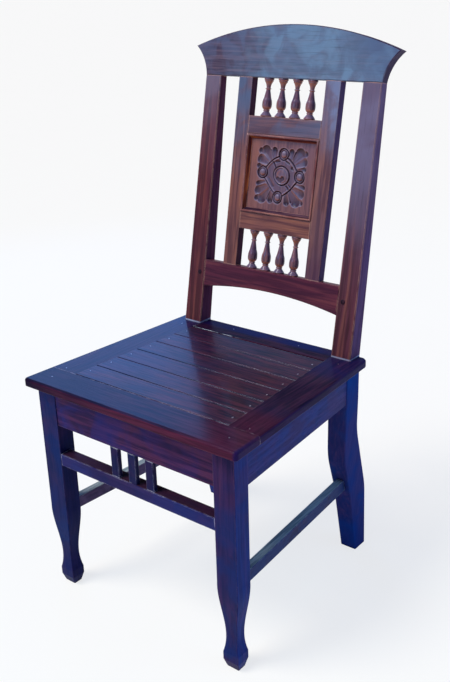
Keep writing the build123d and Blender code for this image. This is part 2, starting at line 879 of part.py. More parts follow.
# Seat slats, rebated under each end to lie on the side boards' lips
for index, (span, pin_place) in enumerate(zip(slat_spans, slat_pin_places)):
    with BuildPart() as slat:
        plan_prism(opening_outline(span, board_fit), (lap_top, seat_height))
        plan_prism(opening_outline(span, lap_length + board_fit), (seat_bottom, lap_top))
        long_edges = slat.faces().sort_by(Axis.Z)[-1].edges().filter_by(Axis.X)
        fillet(long_edges, slat_ease)
        for side in (-1, 1):
            pin_hole(side * pin_place[0], pin_place[1], seat_height, seat_thickness)
    write(slat, f"seat_slat_{index + 1}")

with BuildPart() as slat_pins:
    pin_length = seat_height - lap_top + pin_bite
    for place in slat_pin_places:
        with Locations((*place, seat_height)):
            Cylinder(pin_radius, pin_length, align=(Align.CENTER, Align.CENTER, Align.MAX))
    mirror(about=Plane.YZ)
write(slat_pins, "slat_pins")

with BuildPart() as board_pins:
    board_pin_length = board_pin_depth - tenon_end_gap
    for place in (leg_pin_place, rear_pin_place, *side_pin_places):
        with Locations((*place, seat_height)):
            Cylinder(pin_radius, board_pin_length, align=(Align.CENTER, Align.CENTER, Align.MAX))
    mirror(about=Plane.YZ)
write(board_pins, "board_pins")

# Crest rail: an arched board whose pointed ears reach past the posts
ear_foot = Vector(post_top_outer_x, crest_bottom)
ear_point = Vector(post_top_outer_x + ear_reach, ear_tip)
ear_chord = (ear_point - ear_foot).normalized()
ear_middle = (ear_foot + ear_point) / 2 + Vector(-ear_chord.Y, ear_chord.X) * ear_hollow
with BuildPart() as crest_rail:
    with BuildSketch(back_plane):
        with BuildLine():
            Line((0, crest_bottom), ear_foot)
            ThreePointArc(ear_foot, ear_middle, ear_point)
            mirror(about=Plane.YZ)
            ThreePointArc(ear_point, (0, crest_top), (-ear_point.X, ear_point.Y))
        make_face()
    extrude(amount=-crest_thickness)
    chamfer(edges_across(crest_rail), edge_ease)
    for side in (-1, 1):
        for tenon_x in (post_tenon_x, stile_tenon_x):
            back_block(
                sorted(side * x for x in tenon_x),
                (crest_bottom - tenon_end_gap, post_tenon_rise[1] + tenon_end_gap),
                back_tenon_depth,
                tenon_fit,
                Mode.SUBTRACT,
            )
    baluster_holes((crest_bottom - tenon_end_gap, crest_bottom + baluster_tenon_length + tenon_end_gap))
write(crest_rail, "crest_rail")

# Lower back rail, arched underneath
with BuildPart() as lower_back_rail:
    with BuildSketch(back_plane.offset(-lower_rail_setback)):
        with BuildLine():
            ThreePointArc(
                (-post_inner_x, lower_rail_gap),
                (0, lower_rail_gap + lower_rail_arch),
                (post_inner_x, lower_rail_gap),
            )
            Polyline(
                (post_inner_x, lower_rail_gap),
                (post_inner_x, lower_rail_top),
                (-post_inner_x, lower_rail_top),
                (-post_inner_x, lower_rail_gap),
            )
        make_face()
    extrude(amount=-lower_rail_thickness)
    fillet(edges_across(lower_back_rail), edge_ease)
    for side in (-1, 1):
        tenon_root = post_inner_x - back_tenon_shoulder
        back_block(
            sorted((side * tenon_root, side * lower_rail_tenon_x[1])),
            lower_rail_tenon_rise,
            lower_rail_tenon_depth,
        )
        back_block(
            sorted(side * x for x in stile_tenon_x),
            (stile_tenon_rise[0] - tenon_end_gap, lower_rail_top + tenon_end_gap),
            back_tenon_depth,
            tenon_fit,
            Mode.SUBTRACT,
        )
    baluster_holes(
        (lower_rail_top - baluster_tenon_length - tenon_end_gap, lower_rail_top + tenon_end_gap)
    )
    peg_hole()
    peg_hole(-1)
write(lower_back_rail, "lower_back_rail")

with BuildPart() as rail_pegs:
    for side in (-1, 1):
        with Locations(peg_location(side)):
            Cylinder(peg_radius, peg_length)
write(rail_pegs, "rail_pegs")

# Stiles and rails that frame the panel
with BuildPart() as back_stile_right:
    back_block(
        (stile_inner_x, stile_outer_x), (lower_rail_top, crest_bottom), (frame_setback, frame_rear)
    )
    fillet(rising_edges(back_stile_right), edge_ease)
    back_block(stile_tenon_x, stile_tenon_rise, back_tenon_depth)
    back_block(
        (stile_inner_x - tenon_end_gap, groove_x[1]), groove_rise, tongue_depth, tenon_fit, Mode.SUBTRACT
    )
    for tenon_rise in (lower_panel_rail_tenon_rise, upper_panel_rail_tenon_rise):
        back_block(
            (stile_inner_x - tenon_end_gap, panel_rail_tenon_x[1] + tenon_end_gap),
            tenon_rise,
            back_tenon_depth,
            tenon_fit,
            Mode.SUBTRACT,
        )
write(back_stile_right, "back_stile_right")

with BuildPart() as back_stile_left:
    mirror(back_stile_right.part, about=Plane.YZ)
write(back_stile_left, "back_stile_left")

with BuildPart() as panel_bottom_rail:
    back_block(
        (-stile_inner_x, stile_inner_x),
        (lower_panel_rail_bottom, panel_bottom),
        (frame_setback, frame_rear),
    )
    fillet(edges_across(panel_bottom_rail), edge_ease)
    back_block(
        (-panel_rail_tenon_x[1], panel_rail_tenon_x[1]), lower_panel_rail_tenon_rise, back_tenon_depth
    )
    back_block(
        groove_x,
        (groove_rise[0], panel_bottom + tenon_end_gap),
        tongue_depth,
        tenon_fit,
        Mode.SUBTRACT,
    )
    baluster_holes(
        (
            lower_panel_rail_bottom - tenon_end_gap,
            lower_panel_rail_bottom + baluster_tenon_length + tenon_end_gap,
        )
    )
write(panel_bottom_rail, "panel_bottom_rail")

with BuildPart() as panel_top_rail:
    back_block(
        (-stile_inner_x, stile_inner_x), (panel_top, upper_panel_rail_top), (frame_setback, frame_rear)
    )
    fillet(edges_across(panel_top_rail), edge_ease)
    back_block(
        (-panel_rail_tenon_x[1], panel_rail_tenon_x[1]), upper_panel_rail_tenon_rise, back_tenon_depth
    )
    back_block(
        groove_x,
        (panel_top - tenon_end_gap, groove_rise[1]),
        tongue_depth,
        tenon_fit,
        Mode.SUBTRACT,
    )
    baluster_holes(
        (
            upper_panel_rail_top - baluster_tenon_length - tenon_end_gap,
            upper_panel_rail_top + tenon_end_gap,
        )
    )
write(panel_top_rail, "panel_top_rail")

# Carved panel: a sunk field with a rosette, a lozenge border and four ringed buttons
panel_middle = (panel_bottom + panel_top) / 2
field_x = (carving_margin - stile_inner_x, stile_inner_x - carving_margin)
field_rise = (panel_bottom + carving_margin, panel_top - carving_margin)
with BuildPart() as carved_panel:
    back_block(
        (board_fit - stile_inner_x, stile_inner_x - board_fit),
        (panel_bottom + board_fit, panel_top - board_fit),
        (panel_front, panel_front + panel_thickness),
    )
    back_block(tongue_x, tongue_rise, tongue_depth)
    back_block(field_x, field_rise, (panel_front, panel_front + carving_depth), mode=Mode.SUBTRACT)
    with BuildSketch(back_plane.offset(-panel_front - carving_depth)):
        with BuildLine():
            Polyline(
                (button_across, panel_middle),
                (0, panel_middle + button_up),
                (-button_across, panel_middle),
                (0, panel_middle - button_up),
                close=True,
            )
        make_face()
        with BuildLine():
            Polyline(
                (button_across - 2 * lozenge_width, panel_middle),
                (0, panel_middle + button_up - 2 * lozenge_width),
                (2 * lozenge_width - button_across, panel_middle),
                (0, panel_middle - button_up + 2 * lozenge_width),
                close=True,
            )
        make_face(mode=Mode.SUBTRACT)
        with Locations((0, panel_middle)):
            Circle(rosette_radius)
            with Locations(
                (button_across, 0), (-button_across, 0), (0, button_up), (0, -button_up)
            ):
                Circle(button_radius)
    extrude(amount=carving_depth)
    with Locations(back_plane.location * Location((0, panel_middle, -panel_front))):
        Sphere(rosette_eye_radius)
write(carved_panel, "carved_panel")

# Bead round the panel, mitred at the corners and standing proud of the frame
outer_corners = [
    (-stile_inner_x, panel_bottom),
    (stile_inner_x, panel_bottom),
    (stile_inner_x, panel_top),
    (-stile_inner_x, panel_top),
]
inner_corners = [
    (bead_width - stile_inner_x, panel_bottom + bead_width),
    (stile_inner_x - bead_width, panel_bottom + bead_width),
    (stile_inner_x - bead_width, panel_top - bead_width),
    (bead_width - stile_inner_x, panel_top - bead_width),
]
bead_height = panel_front - frame_setback + bead_proud
for index, side_name in enumerate(("bottom", "right", "top", "left")):
    following = (index + 1) % len(outer_corners)
    with BuildPart() as panel_bead:
        with BuildSketch(back_plane.offset(-panel_front)):
            with BuildLine():
                Polyline(
                    outer_corners[index],
                    outer_corners[following],
                    inner_corners[following],
                    inner_corners[index],
                    close=True,
                )
            make_face()
        extrude(amount=bead_height)
        bead_face = panel_bead.faces().sort_by(Axis(back_plane.origin, back_plane.z_dir))[-1]
        inner_edge = bead_face.edges().sort_by(SortBy.LENGTH)[-2]
        chamfer(inner_edge, bead_slope_width, bead_slope_depth, reference=bead_face)
        bead_face = panel_bead.faces().sort_by(Axis(back_plane.origin, back_plane.z_dir))[-1]
        fillet(bead_face.edges().sort_by(SortBy.LENGTH)[-2:], bead_round)
    write(panel_bead, f"panel_bead_{side_name}")

# Turned balusters, in a row above the panel and a row below it
# Directions of the turned profile: outwards from the axis, then up
outward_and_up = (1, 1)
straight_up = (0, 1)
flare_start = (0.5, 1)
flare_end = (0.3, 1)
for row, foot_rise, length in (
    ("lower", lower_rail_top, lower_opening),
    ("upper", upper_panel_rail_top, upper_opening),
):
    for index, place in enumerate(baluster_places):
        foot = back_plane.from_local_coords((place, foot_rise, -frame_middle))
        turning_plane = Plane(origin=foot, x_dir=back_plane.x_dir, z_dir=back_plane.z_dir)
        ring_rise = length - baluster_ring_drop
        with BuildPart() as baluster:
            with BuildSketch(turning_plane):
                with BuildLine():
                    foot_tenon = Polyline(
                        (0, -baluster_tenon_length),
                        (baluster_tenon_radius, -baluster_tenon_length),
                        (baluster_tenon_radius, 0),
                        (baluster_base_radius, 0),
                        (baluster_base_radius, baluster_base_height),
                        (baluster_waist_radius, baluster_waist_rise),
                    )
                    belly = Spline(
                        foot_tenon @ 1,
                        (baluster_belly_radius, baluster_belly_rise),
                        (baluster_neck_radius, ring_rise),
                        tangents=(outward_and_up, straight_up),
                    )
                    ring = ThreePointArc(
                        belly @ 1,
                        (baluster_ring_radius, ring_rise + baluster_ring_height / 2),
                        (baluster_neck_radius, ring_rise + baluster_ring_height),
                    )
                    cup = Spline(
                        ring @ 1,
                        (baluster_cup_radius, length - baluster_cup_height),
                        tangents=(flare_start, flare_end),
                    )
                    Polyline(
                        cup @ 1,
                        (baluster_cup_radius, length),
                        (baluster_tenon_radius, length),
                        (baluster_tenon_radius, length + baluster_tenon_length),
                        (0, length + baluster_tenon_length),
                        (0, -baluster_tenon_length),
                    )
                make_face()
            revolve(axis=Axis(foot, back_plane.y_dir))
        write(baluster, f"{row}_baluster_{index + 1}")
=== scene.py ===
"""Dresses a wooden dining chair: stained woods, a carved panel, turned balusters and a plain studio."""

import logging
import math
from abc import ABC, abstractmethod
from collections.abc import Callable, Sequence
from dataclasses import dataclass, replace
from enum import Enum

import bmesh
import bpy
import numpy as np
from mathutils import Matrix, Vector


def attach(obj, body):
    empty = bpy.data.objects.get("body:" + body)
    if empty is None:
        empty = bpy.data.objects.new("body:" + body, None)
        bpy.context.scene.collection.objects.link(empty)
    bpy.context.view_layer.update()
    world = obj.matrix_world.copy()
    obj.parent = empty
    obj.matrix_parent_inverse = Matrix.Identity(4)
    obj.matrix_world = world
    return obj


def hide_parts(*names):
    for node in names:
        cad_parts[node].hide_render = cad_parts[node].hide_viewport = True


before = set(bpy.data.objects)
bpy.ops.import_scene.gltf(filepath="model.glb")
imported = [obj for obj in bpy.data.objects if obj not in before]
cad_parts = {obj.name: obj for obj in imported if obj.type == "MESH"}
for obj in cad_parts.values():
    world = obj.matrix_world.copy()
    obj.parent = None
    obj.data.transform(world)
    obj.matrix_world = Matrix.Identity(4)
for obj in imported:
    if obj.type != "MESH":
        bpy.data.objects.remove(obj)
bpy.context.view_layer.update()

MM = 0.001
RAKE = math.radians(10.7)
BODY = "root"

log = logging.getLogger("chair")

Colour = tuple[float, float, float, float]
Socket = bpy.types.NodeSocket


def screen_colour(red: int, green: int, blue: int) -> Colour:
    """Turns a colour as it shows on a screen into the linear colour that a socket takes.

    Args:
        red, green, blue: The screen values, from 0 to 255.

    Returns:
        The linear colour with full alpha.
    """
    linear = []
    for value in (red, green, blue):
        share = value / 255
        linear.append(share / 12.92 if share <= 0.04045 else ((share + 0.055) / 1.055) ** 2.4)
    return (linear[0], linear[1], linear[2], 1.0)


class NodeBench:
    """Adds nodes to one tree and joins them."""

    def __init__(self, tree: bpy.types.NodeTree) -> None:
        """Keeps the tree that the nodes go into."""
        self.tree = tree

    def add(self, kind: str, feeds: dict | None = None, **settings: object) -> bpy.types.Node:
        """Adds one node.

        Args:
            kind: Blender's name for the node.
            feeds: A value or an output socket for each input, by the input's name or place.
            settings: The node's own properties.

        Returns:
            The new node.
        """
        node = self.tree.nodes.new(kind)
        for name, value in settings.items():
            setattr(node, name, value)
        for key, value in (feeds or {}).items():
            self.feed(node.inputs[key], value)
        return node

    def feed(self, socket: Socket, value: object) -> None:
        """Joins an output to a socket, or sets the socket's own value."""
        if isinstance(value, bpy.types.NodeSocket):
            self.tree.links.new(value, socket)
        else:
            socket.default_value = value

    def noise(self, vector: Socket, scale: object, detail: float = 3.0, distortion: float = 0.0) -> Socket:
        """Adds a noise texture.

        Args:
            vector: Where the noise is read.
            scale: Cells in a metre.
            detail: Octaves of finer noise.
            distortion: How far the noise is warped.

        Returns:
            The noise, from 0 to 1.
        """
        feeds = {"Vector": vector, "Scale": scale, "Detail": detail, "Distortion": distortion}
        return self.add("ShaderNodeTexNoise", feeds).outputs["Fac"]

    def ramp(
        self, value: Socket, low: object, high: object, start: object = 0.0, end: object = 1.0
    ) -> Socket:
        """Maps a value smoothly from one range to another and holds it there.

        Args:
            value: What is mapped.
            low, high: The range that is read.
            start, end: The range that comes out.

        Returns:
            The mapped value.
        """
        feeds = {0: value, 1: low, 2: high, 3: start, 4: end}
        return self.add("ShaderNodeMapRange", feeds, interpolation_type="SMOOTHSTEP").outputs[0]

    def maths(self, operation: str, first: object, second: object, clamp: bool = True) -> Socket:
        """Adds a Math node and returns its result, held between 0 and 1 unless clamp is off."""
        node = self.add("ShaderNodeMath", {0: first, 1: second}, operation=operation, use_clamp=clamp)
        return node.outputs[0]

    def vector(self, operation: str, first: object, second: object | None = None) -> Socket:
        """Adds a Vector Math node.

        Args:
            operation: What it works out.
            first: The vector that it takes.
            second: The other vector, where it takes two.

        Returns:
            The resulting vector, or the value of a dot product.
        """
        feeds = {0: first} if second is None else {0: first, 1: second}
        node = self.add("ShaderNodeVectorMath", feeds, operation=operation)
        return node.outputs["Value" if operation == "DOT_PRODUCT" else "Vector"]

    def part(self, vector: Socket, axis: str) -> Socket:
        """Takes one axis out of a vector."""
        return self.add("ShaderNodeSeparateXYZ", {0: vector}).outputs[axis]

    def mix(self, factor: object, first: object, second: object) -> Socket:
        """Mixes two colours.

        Args:
            factor: Share of the second colour.
            first, second: The colours, as values or sockets.

        Returns:
            The mixed colour.
        """
        feeds = {0: factor, 6: first, 7: second}
        return self.add("ShaderNodeMix", feeds, data_type="RGBA").outputs[2]


class Grain(Enum):
    """Which way a piece's grain runs, as the turn that lays it along X."""

    ACROSS = (0.0, 0.0, 0.0)
    FRONT_TO_BACK = (0.0, 0.0, -math.pi / 2)
    UPRIGHT = (0.0, math.pi / 2, 0.0)
    RAKED = (RAKE, math.pi / 2, 0.0)


class SharedEffects:
    """Shader node groups that several finishes use, each built once.

    A pair of limits is where an effect starts and where it is full, in the noise or the measure behind it.
    """

    GRAIN = "wood grain"
    CLOUD = "stain cloud"
    # Pale edges: rubbing on some finishes, a painted highlight and glint on others.
    EDGE_WEAR_AND_GLINT = "edge wear"
    PAINTED_HOLLOW_SHADE = "dark cavity"
    PAINTED_FACING = "stained flank"
    PAINTED_SKY_AND_BOUNCE = "ledges and undersides"

    STREAK_STRETCH = (0.055, 1.0, 1.0)
    STREAK_LIMITS = (0.34, 0.66)
    BAND_SCALE = 0.36
    BAND_LIMITS = (0.42, 0.68)
    PORE_STRETCH = (0.025, 1.0, 1.0)
    PORE_LIMITS = (0.55, 0.72)
    CLOUD_LIMITS = (0.32, 0.68)
    BEND_LIMITS = (0.01, 0.28)
    PALE_PART_SPAN = 0.26
    CLOSED_LIMITS = (0.75, 0.15)
    PAINTED_FACING_LIMITS = (0.7, 0.9)
    SKY_SHEEN_LIMITS = (0.05, 0.55)
    WARM_BOUNCE_LIMITS = (-0.02, -0.47)
    RAYS = 6

    def __init__(self) -> None:
        """Builds the groups."""
        self._build_grain()
        self._build_cloud()
        self._build_edge_wear_and_glint()
        self._build_painted_hollow_shade()
        self._build_painted_facing()
        self._build_painted_sky_and_bounce()

    @staticmethod
    def _new(name: str, inputs: dict[str, object], outputs: Sequence[str]) -> tuple[NodeBench, dict, dict]:
        """Starts a group.

        Args:
            name: The group's name.
            inputs: Each input's default value, by name; None makes a vector input.
            outputs: Names of the value outputs.

        Returns:
            The bench of the group, its input sockets and its output sockets, both by name.
        """
        tree = bpy.data.node_groups.new(name, "ShaderNodeTree")
        for label, default in inputs.items():
            kind = "NodeSocketVector" if default is None else "NodeSocketFloat"
            socket = tree.interface.new_socket(name=label, in_out="INPUT", socket_type=kind)
            if default is not None:
                socket.default_value = default
        for label in outputs:
            tree.interface.new_socket(name=label, in_out="OUTPUT", socket_type="NodeSocketFloat")
        bench = NodeBench(tree)
        entry = bench.add("NodeGroupInput")
        leave = bench.add("NodeGroupOutput")
        given = {label: entry.outputs[label] for label in inputs}
        taken = {label: leave.inputs[label] for label in outputs}
        return bench, given, taken

    def _build_grain(self) -> None:
        """Streaks and pores that run along X."""
        inputs = {"Vector": None, "Streaks": 90.0, "Pores": 900.0}
        bench, given, taken = self._new(self.GRAIN, inputs, ("Streak", "Band", "Pore"))
        drawn_out = bench.vector("MULTIPLY", given["Vector"], self.STREAK_STRETCH)
        hair_thin = bench.vector("MULTIPLY", given["Vector"], self.PORE_STRETCH)
        streak = bench.noise(drawn_out, given["Streaks"], detail=5.0, distortion=0.6)
        bench.feed(taken["Streak"], bench.ramp(streak, *self.STREAK_LIMITS))
        wide = bench.maths("MULTIPLY", given["Streaks"], self.BAND_SCALE, clamp=False)
        band = bench.noise(drawn_out, wide, detail=2.0, distortion=1.2)
        bench.feed(taken["Band"], bench.ramp(band, *self.BAND_LIMITS))
        pore = bench.noise(hair_thin, given["Pores"], detail=2.0)
        bench.feed(taken["Pore"], bench.ramp(pore, *self.PORE_LIMITS))

    def _build_cloud(self) -> None:
        """Soft patches where an overlay, stain and painted reflection alike, changes."""
        bench, given, taken = self._new(self.CLOUD, {"Vector": None, "Scale": 9.0}, ("Cloud",))
        cloud = bench.noise(given["Vector"], given["Scale"], detail=3.0, distortion=0.8)
        bench.feed(taken["Cloud"], bench.ramp(cloud, *self.CLOUD_LIMITS))

    def _build_edge_wear_and_glint(self) -> None:
        """Pale edges, broken up along their length: rubbing on some finishes, a painted highlight and glint
        on others.
        """
        inputs = {"Vector": None, "Axes": None, "Width": 2.0 * MM, "Break": 60.0, "Bare From": 0.36}
        bench, given, taken = self._new(self.EDGE_WEAR_AND_GLINT, inputs, ("Mask",))
        feeds = {"Radius": given["Width"]}
        rounded = bench.add("ShaderNodeBevel", feeds, samples=self.RAYS).outputs["Normal"]
        facing = bench.add("ShaderNodeNewGeometry").outputs["Normal"]
        turn = bench.vector("MULTIPLY", bench.vector("SUBTRACT", rounded, facing), given["Axes"])
        edge = bench.ramp(bench.vector("DOT_PRODUCT", turn, turn), *self.BEND_LIMITS)
        broken = bench.noise(given["Vector"], given["Break"], detail=4.0)
        pale_part_to = bench.maths("ADD", given["Bare From"], self.PALE_PART_SPAN)
        pale_part = bench.ramp(broken, given["Bare From"], pale_part_to)
        bench.feed(taken["Mask"], bench.maths("MULTIPLY", edge, pale_part))

    def _build_painted_hollow_shade(self) -> None:
        """Corners and hollows, found by ambient occlusion, which take painted shade."""
        bench, given, taken = self._new(self.PAINTED_HOLLOW_SHADE, {"Reach": 8.0 * MM}, ("Mask",))
        feeds = {"Distance": given["Reach"]}
        open_sky = bench.add("ShaderNodeAmbientOcclusion", feeds, samples=self.RAYS).outputs["AO"]
        bench.feed(taken["Mask"], bench.ramp(open_sky, *self.CLOSED_LIMITS))

    def _build_painted_facing(self) -> None:
        """Faces that look along the chosen axes, which take painted light and shade by facing."""
        bench, given, taken = self._new(self.PAINTED_FACING, {"Axes": None}, ("Mask",))
        facing = bench.add("ShaderNodeNewGeometry").outputs["Normal"]
        aside = bench.vector("DOT_PRODUCT", bench.vector("ABSOLUTE", facing), given["Axes"])
        bench.feed(taken["Mask"], bench.ramp(aside, *self.PAINTED_FACING_LIMITS))

    def _build_painted_sky_and_bounce(self) -> None:
        """Masks for painted light: faces that look up the leaning back take a painted sky reflection, and
        faces that look down a painted warm bounce light.
        """
        bench, _, taken = self._new(self.PAINTED_SKY_AND_BOUNCE, {}, ("Sky Sheen", "Warm Bounce"))
        facing = bench.add("ShaderNodeNewGeometry").outputs["Normal"]
        rise = bench.vector("DOT_PRODUCT", facing, (0.0, math.sin(RAKE), math.cos(RAKE)))
        bench.feed(taken["Sky Sheen"], bench.ramp(rise, *self.SKY_SHEEN_LIMITS))
        bench.feed(taken["Warm Bounce"], bench.ramp(rise, *self.WARM_BOUNCE_LIMITS))


@dataclass(frozen=True)
class StainAndReflection:
    """A colour laid over part of a piece: on most finishes the wood's stain, on some a painted sky
    reflection, and on the posts a painted glint.

    Attributes:
        colour: The colour.
        low, high: Its share at the start and at the end of the span.
        span: Places along the axis between which the share changes.
        axis: The axis, which is height unless another is named.
        fade: Places along the axis between which it fades out again, if it does.
        uneven: How far the share falls and rises in patches, up to 1.
        patches: Patches in a metre.
    """

    colour: Colour
    low: float
    high: float
    span: tuple[float, float] = (0.0, 1.0)
    axis: str = "Z"
    fade: tuple[float, float] | None = None
    uneven: float = 0.4
    patches: float = 9.0


@dataclass(frozen=True)
class WoodFinish:
    """A stained and lacquered wood.

    Attributes:
        name: Name of the finish.
        deep: Colour of the dark streaks and pores, and of the painted shade in hollows.
        warm: Colour of the wood itself.
        glow: Colour of the light streaks.
        stains_and_reflections: Colours laid over the wood, in order: the stain, and on some finishes a
            painted sky reflection.
        painted_facing_light: Colour of the faces that look along the chosen axes: painted light and shade by
            facing.
        painted_facing_share: How much of that colour shows.
        painted_facing_axes: The axes, as weights: the first is left and right, the second is front and back.
        over: Colours laid over the painted facing light too.
        wear_and_glint_colour: Colour of the pale edges: rubbing on some finishes, a painted highlight and
            glint on others.
        wear_and_glint_share: How much of the pale edges shows.
        wear_and_glint_width: Width of the pale edges.
        wear_and_glint_from: Where the pale edges start in their noise: the lower, the less the edges are
            broken.
        wear_and_glint_axes: The ways that a pale edge may face, as weights of the three axes.
        wear_and_glint_along: Places from left to right between which the pale edges come in, if they aren't
            all along.
        glow_share: How much of the light streaks shows.
        contrast: How much of the dark streaks shows.
        roughness: Roughness of the wood under the lacquer.
        shine: Specular level of the wood under the lacquer.
        cast: Colour of the gloss.
        lacquer: Weight of the lacquer coat.
        lacquer_roughness: Roughness of the lacquer coat.
        coat_and_edges_from: Height where lacquer and pale edges start, if not at the piece's foot.
        streaks: Grain streaks in a metre.
    """

    name: str
    deep: Colour
    warm: Colour
    glow: Colour
    stains_and_reflections: tuple[StainAndReflection, ...] = ()
    painted_facing_light: Colour = screen_colour(52, 28, 54)
    painted_facing_share: float = 0.0
    painted_facing_axes: tuple[float, float, float] = (1.0, 0.0, 0.0)
    over: tuple[StainAndReflection, ...] = ()
    wear_and_glint_colour: Colour = screen_colour(186, 130, 116)
    wear_and_glint_share: float = 0.75
    wear_and_glint_width: float = 3.2 * MM
    wear_and_glint_from: float = 0.36
    wear_and_glint_axes: tuple[float, float, float] = (1.0, 1.0, 1.0)
    wear_and_glint_along: tuple[float, float] | None = None
    glow_share: float = 0.5
    contrast: float = 1.0
    roughness: float = 0.42
    shine: float = 0.08
    cast: Colour = (0.35, 0.5, 1.0, 1.0)
    lacquer: float = 0.05
    lacquer_roughness: float = 0.16
    coat_and_edges_from: float | None = None
    streaks: float = 210.0

    PAINTED_FACING_DARK = 0.45
    PAINTED_FACING_GLOW = 0.16
    PATCH_RISE = 0.62
    PORE_DARK = 0.45
    PAINTED_HOLLOW_SHADE_SHARE = 0.7
    PORE_ROUGHNESS = 0.16
    RELIEF_STRENGTH = 0.25
    RELIEF_HEIGHT = 0.25 * MM
    COAT_AND_EDGES_SPAN = 20.0 * MM

    def material(self, grain: Grain) -> bpy.types.Material:
        """The finish with its grain laid one way, built the first time that it is asked for.

        Args:
            grain: Which way the grain runs.

        Returns:
            The material.
        """
        label = f"{self.name} {grain.name.lower().replace('_', ' ')}"
        known = bpy.data.materials.get(label)
        return known if known else self._build(label, grain)

    def _build(self, label: str, grain: Grain) -> bpy.types.Material:
        """Builds the material's nodes."""
        material = bpy.data.materials.new(label)
        material.use_nodes = True
        bench = NodeBench(material.node_tree)
        shader = material.node_tree.nodes["Principled BSDF"]
        place = bench.add("ShaderNodeTexCoord").outputs["Object"]
        laid = bench.add("ShaderNodeMapping", {"Vector": place, "Rotation": grain.value}).outputs[0]

        fibre = self._group(bench, SharedEffects.GRAIN, {"Vector": laid, "Streaks": self.streaks})
        painted_facing_light = self._group(bench, SharedEffects.PAINTED_FACING, {"Axes": self.painted_facing_axes})["Mask"]
        aside = bench.maths("MULTIPLY", painted_facing_light, self.painted_facing_share)
        colour = self._wood(bench, fibre, place, aside)
        rubbing_and_glint = self._wear_and_glint_mask(bench, place)
        reach = None
        if self.coat_and_edges_from is not None:
            limits = (self.coat_and_edges_from, self.coat_and_edges_from + self.COAT_AND_EDGES_SPAN)
            reach = bench.ramp(bench.part(place, "Z"), *limits)
            rubbing_and_glint = bench.maths("MULTIPLY", rubbing_and_glint, reach)
        colour = self._tint_and_painted_light(bench, bench.mix(rubbing_and_glint, colour, self.wear_and_glint_colour))
        bench.feed(shader.inputs["Base Color"], colour)

        rough = bench.ramp(fibre["Pore"], 0.0, 1.0, self.roughness, self.roughness + self.PORE_ROUGHNESS)
        bench.feed(shader.inputs["Roughness"], rough)
        coat = bench.ramp(bench.maths("MAXIMUM", rubbing_and_glint, aside), 0.0, 1.0, self.lacquer, 0.0)
        if reach is not None:
            coat = bench.maths("MULTIPLY", coat, reach)
        bench.feed(shader.inputs["Coat Weight"], coat)
        shader.inputs["Specular IOR Level"].default_value = self.shine
        shader.inputs["Specular Tint"].default_value = self.cast
        shader.inputs["Coat Roughness"].default_value = self.lacquer_roughness
        relief = bench.maths("SUBTRACT", fibre["Streak"], fibre["Pore"])
        feeds = {"Strength": self.RELIEF_STRENGTH, "Distance": self.RELIEF_HEIGHT, "Height": relief}
        bench.feed(shader.inputs["Normal"], bench.add("ShaderNodeBump", feeds).outputs["Normal"])
        return material

    def _wear_and_glint_mask(self, bench: NodeBench, place: Socket) -> Socket:
        """Share of the pale edges' colour: rubbing, and a painted highlight and glint.

        Args:
            bench: The material's bench.
            place: Object coordinates.

        Returns:
            The share at each place.
        """
        feeds = {
            "Vector": place,
            "Axes": self.wear_and_glint_axes,
            "Width": self.wear_and_glint_width,
            "Bare From": self.wear_and_glint_from,
        }
        rubbing_and_glint = bench.maths("MULTIPLY", self._group(bench, SharedEffects.EDGE_WEAR_AND_GLINT, feeds)["Mask"], self.wear_and_glint_share)
        if self.wear_and_glint_along:
            along = bench.ramp(bench.part(place, "X"), *self.wear_and_glint_along)
            rubbing_and_glint = bench.maths("MULTIPLY", rubbing_and_glint, along)
        return rubbing_and_glint

    def _wood(self, bench: NodeBench, fibre: dict[str, Socket], place: Socket, aside: Socket) -> Socket:
        """Colour of the grain under its overlays, with painted light and shade by facing and in hollows.

        Args:
            bench: The material's bench.
            fibre: The grain group's outputs.
            place: Object coordinates.
            aside: Share of the painted facing light.

        Returns:
            The colour, before the pale edges.
        """
        dark = bench.ramp(fibre["Streak"], 0.0, 1.0, self.contrast, 0.0)
        colour = bench.mix(dark, self.warm, self.deep)
        light_streak = bench.maths("MULTIPLY", fibre["Band"], fibre["Streak"])
        colour = bench.mix(bench.maths("MULTIPLY", light_streak, self.glow_share), colour, self.glow)
        colour = self._stained_and_reflected(bench, colour, place, self.stains_and_reflections)
        # Painted light and shade by facing: faces that look along the chosen axes take their own colour.
        painted_facing_light = bench.mix(bench.maths("MULTIPLY", dark, self.PAINTED_FACING_DARK), self.painted_facing_light, self.deep)
        painted_facing_light = bench.mix(bench.maths("MULTIPLY", light_streak, self.PAINTED_FACING_GLOW), painted_facing_light, self.glow)
        colour = bench.mix(aside, colour, painted_facing_light)
        colour = self._stained_and_reflected(bench, colour, place, self.over)
        pores = bench.maths("MULTIPLY", fibre["Pore"], self.PORE_DARK * self.contrast)
        colour = bench.mix(pores, colour, self.deep)
        # Painted shade: corners and hollows darkened towards the deep colour.
        hollow_shade_mask = self._group(bench, SharedEffects.PAINTED_HOLLOW_SHADE, {})["Mask"]
        return bench.mix(bench.maths("MULTIPLY", hollow_shade_mask, self.PAINTED_HOLLOW_SHADE_SHARE), colour, self.deep)

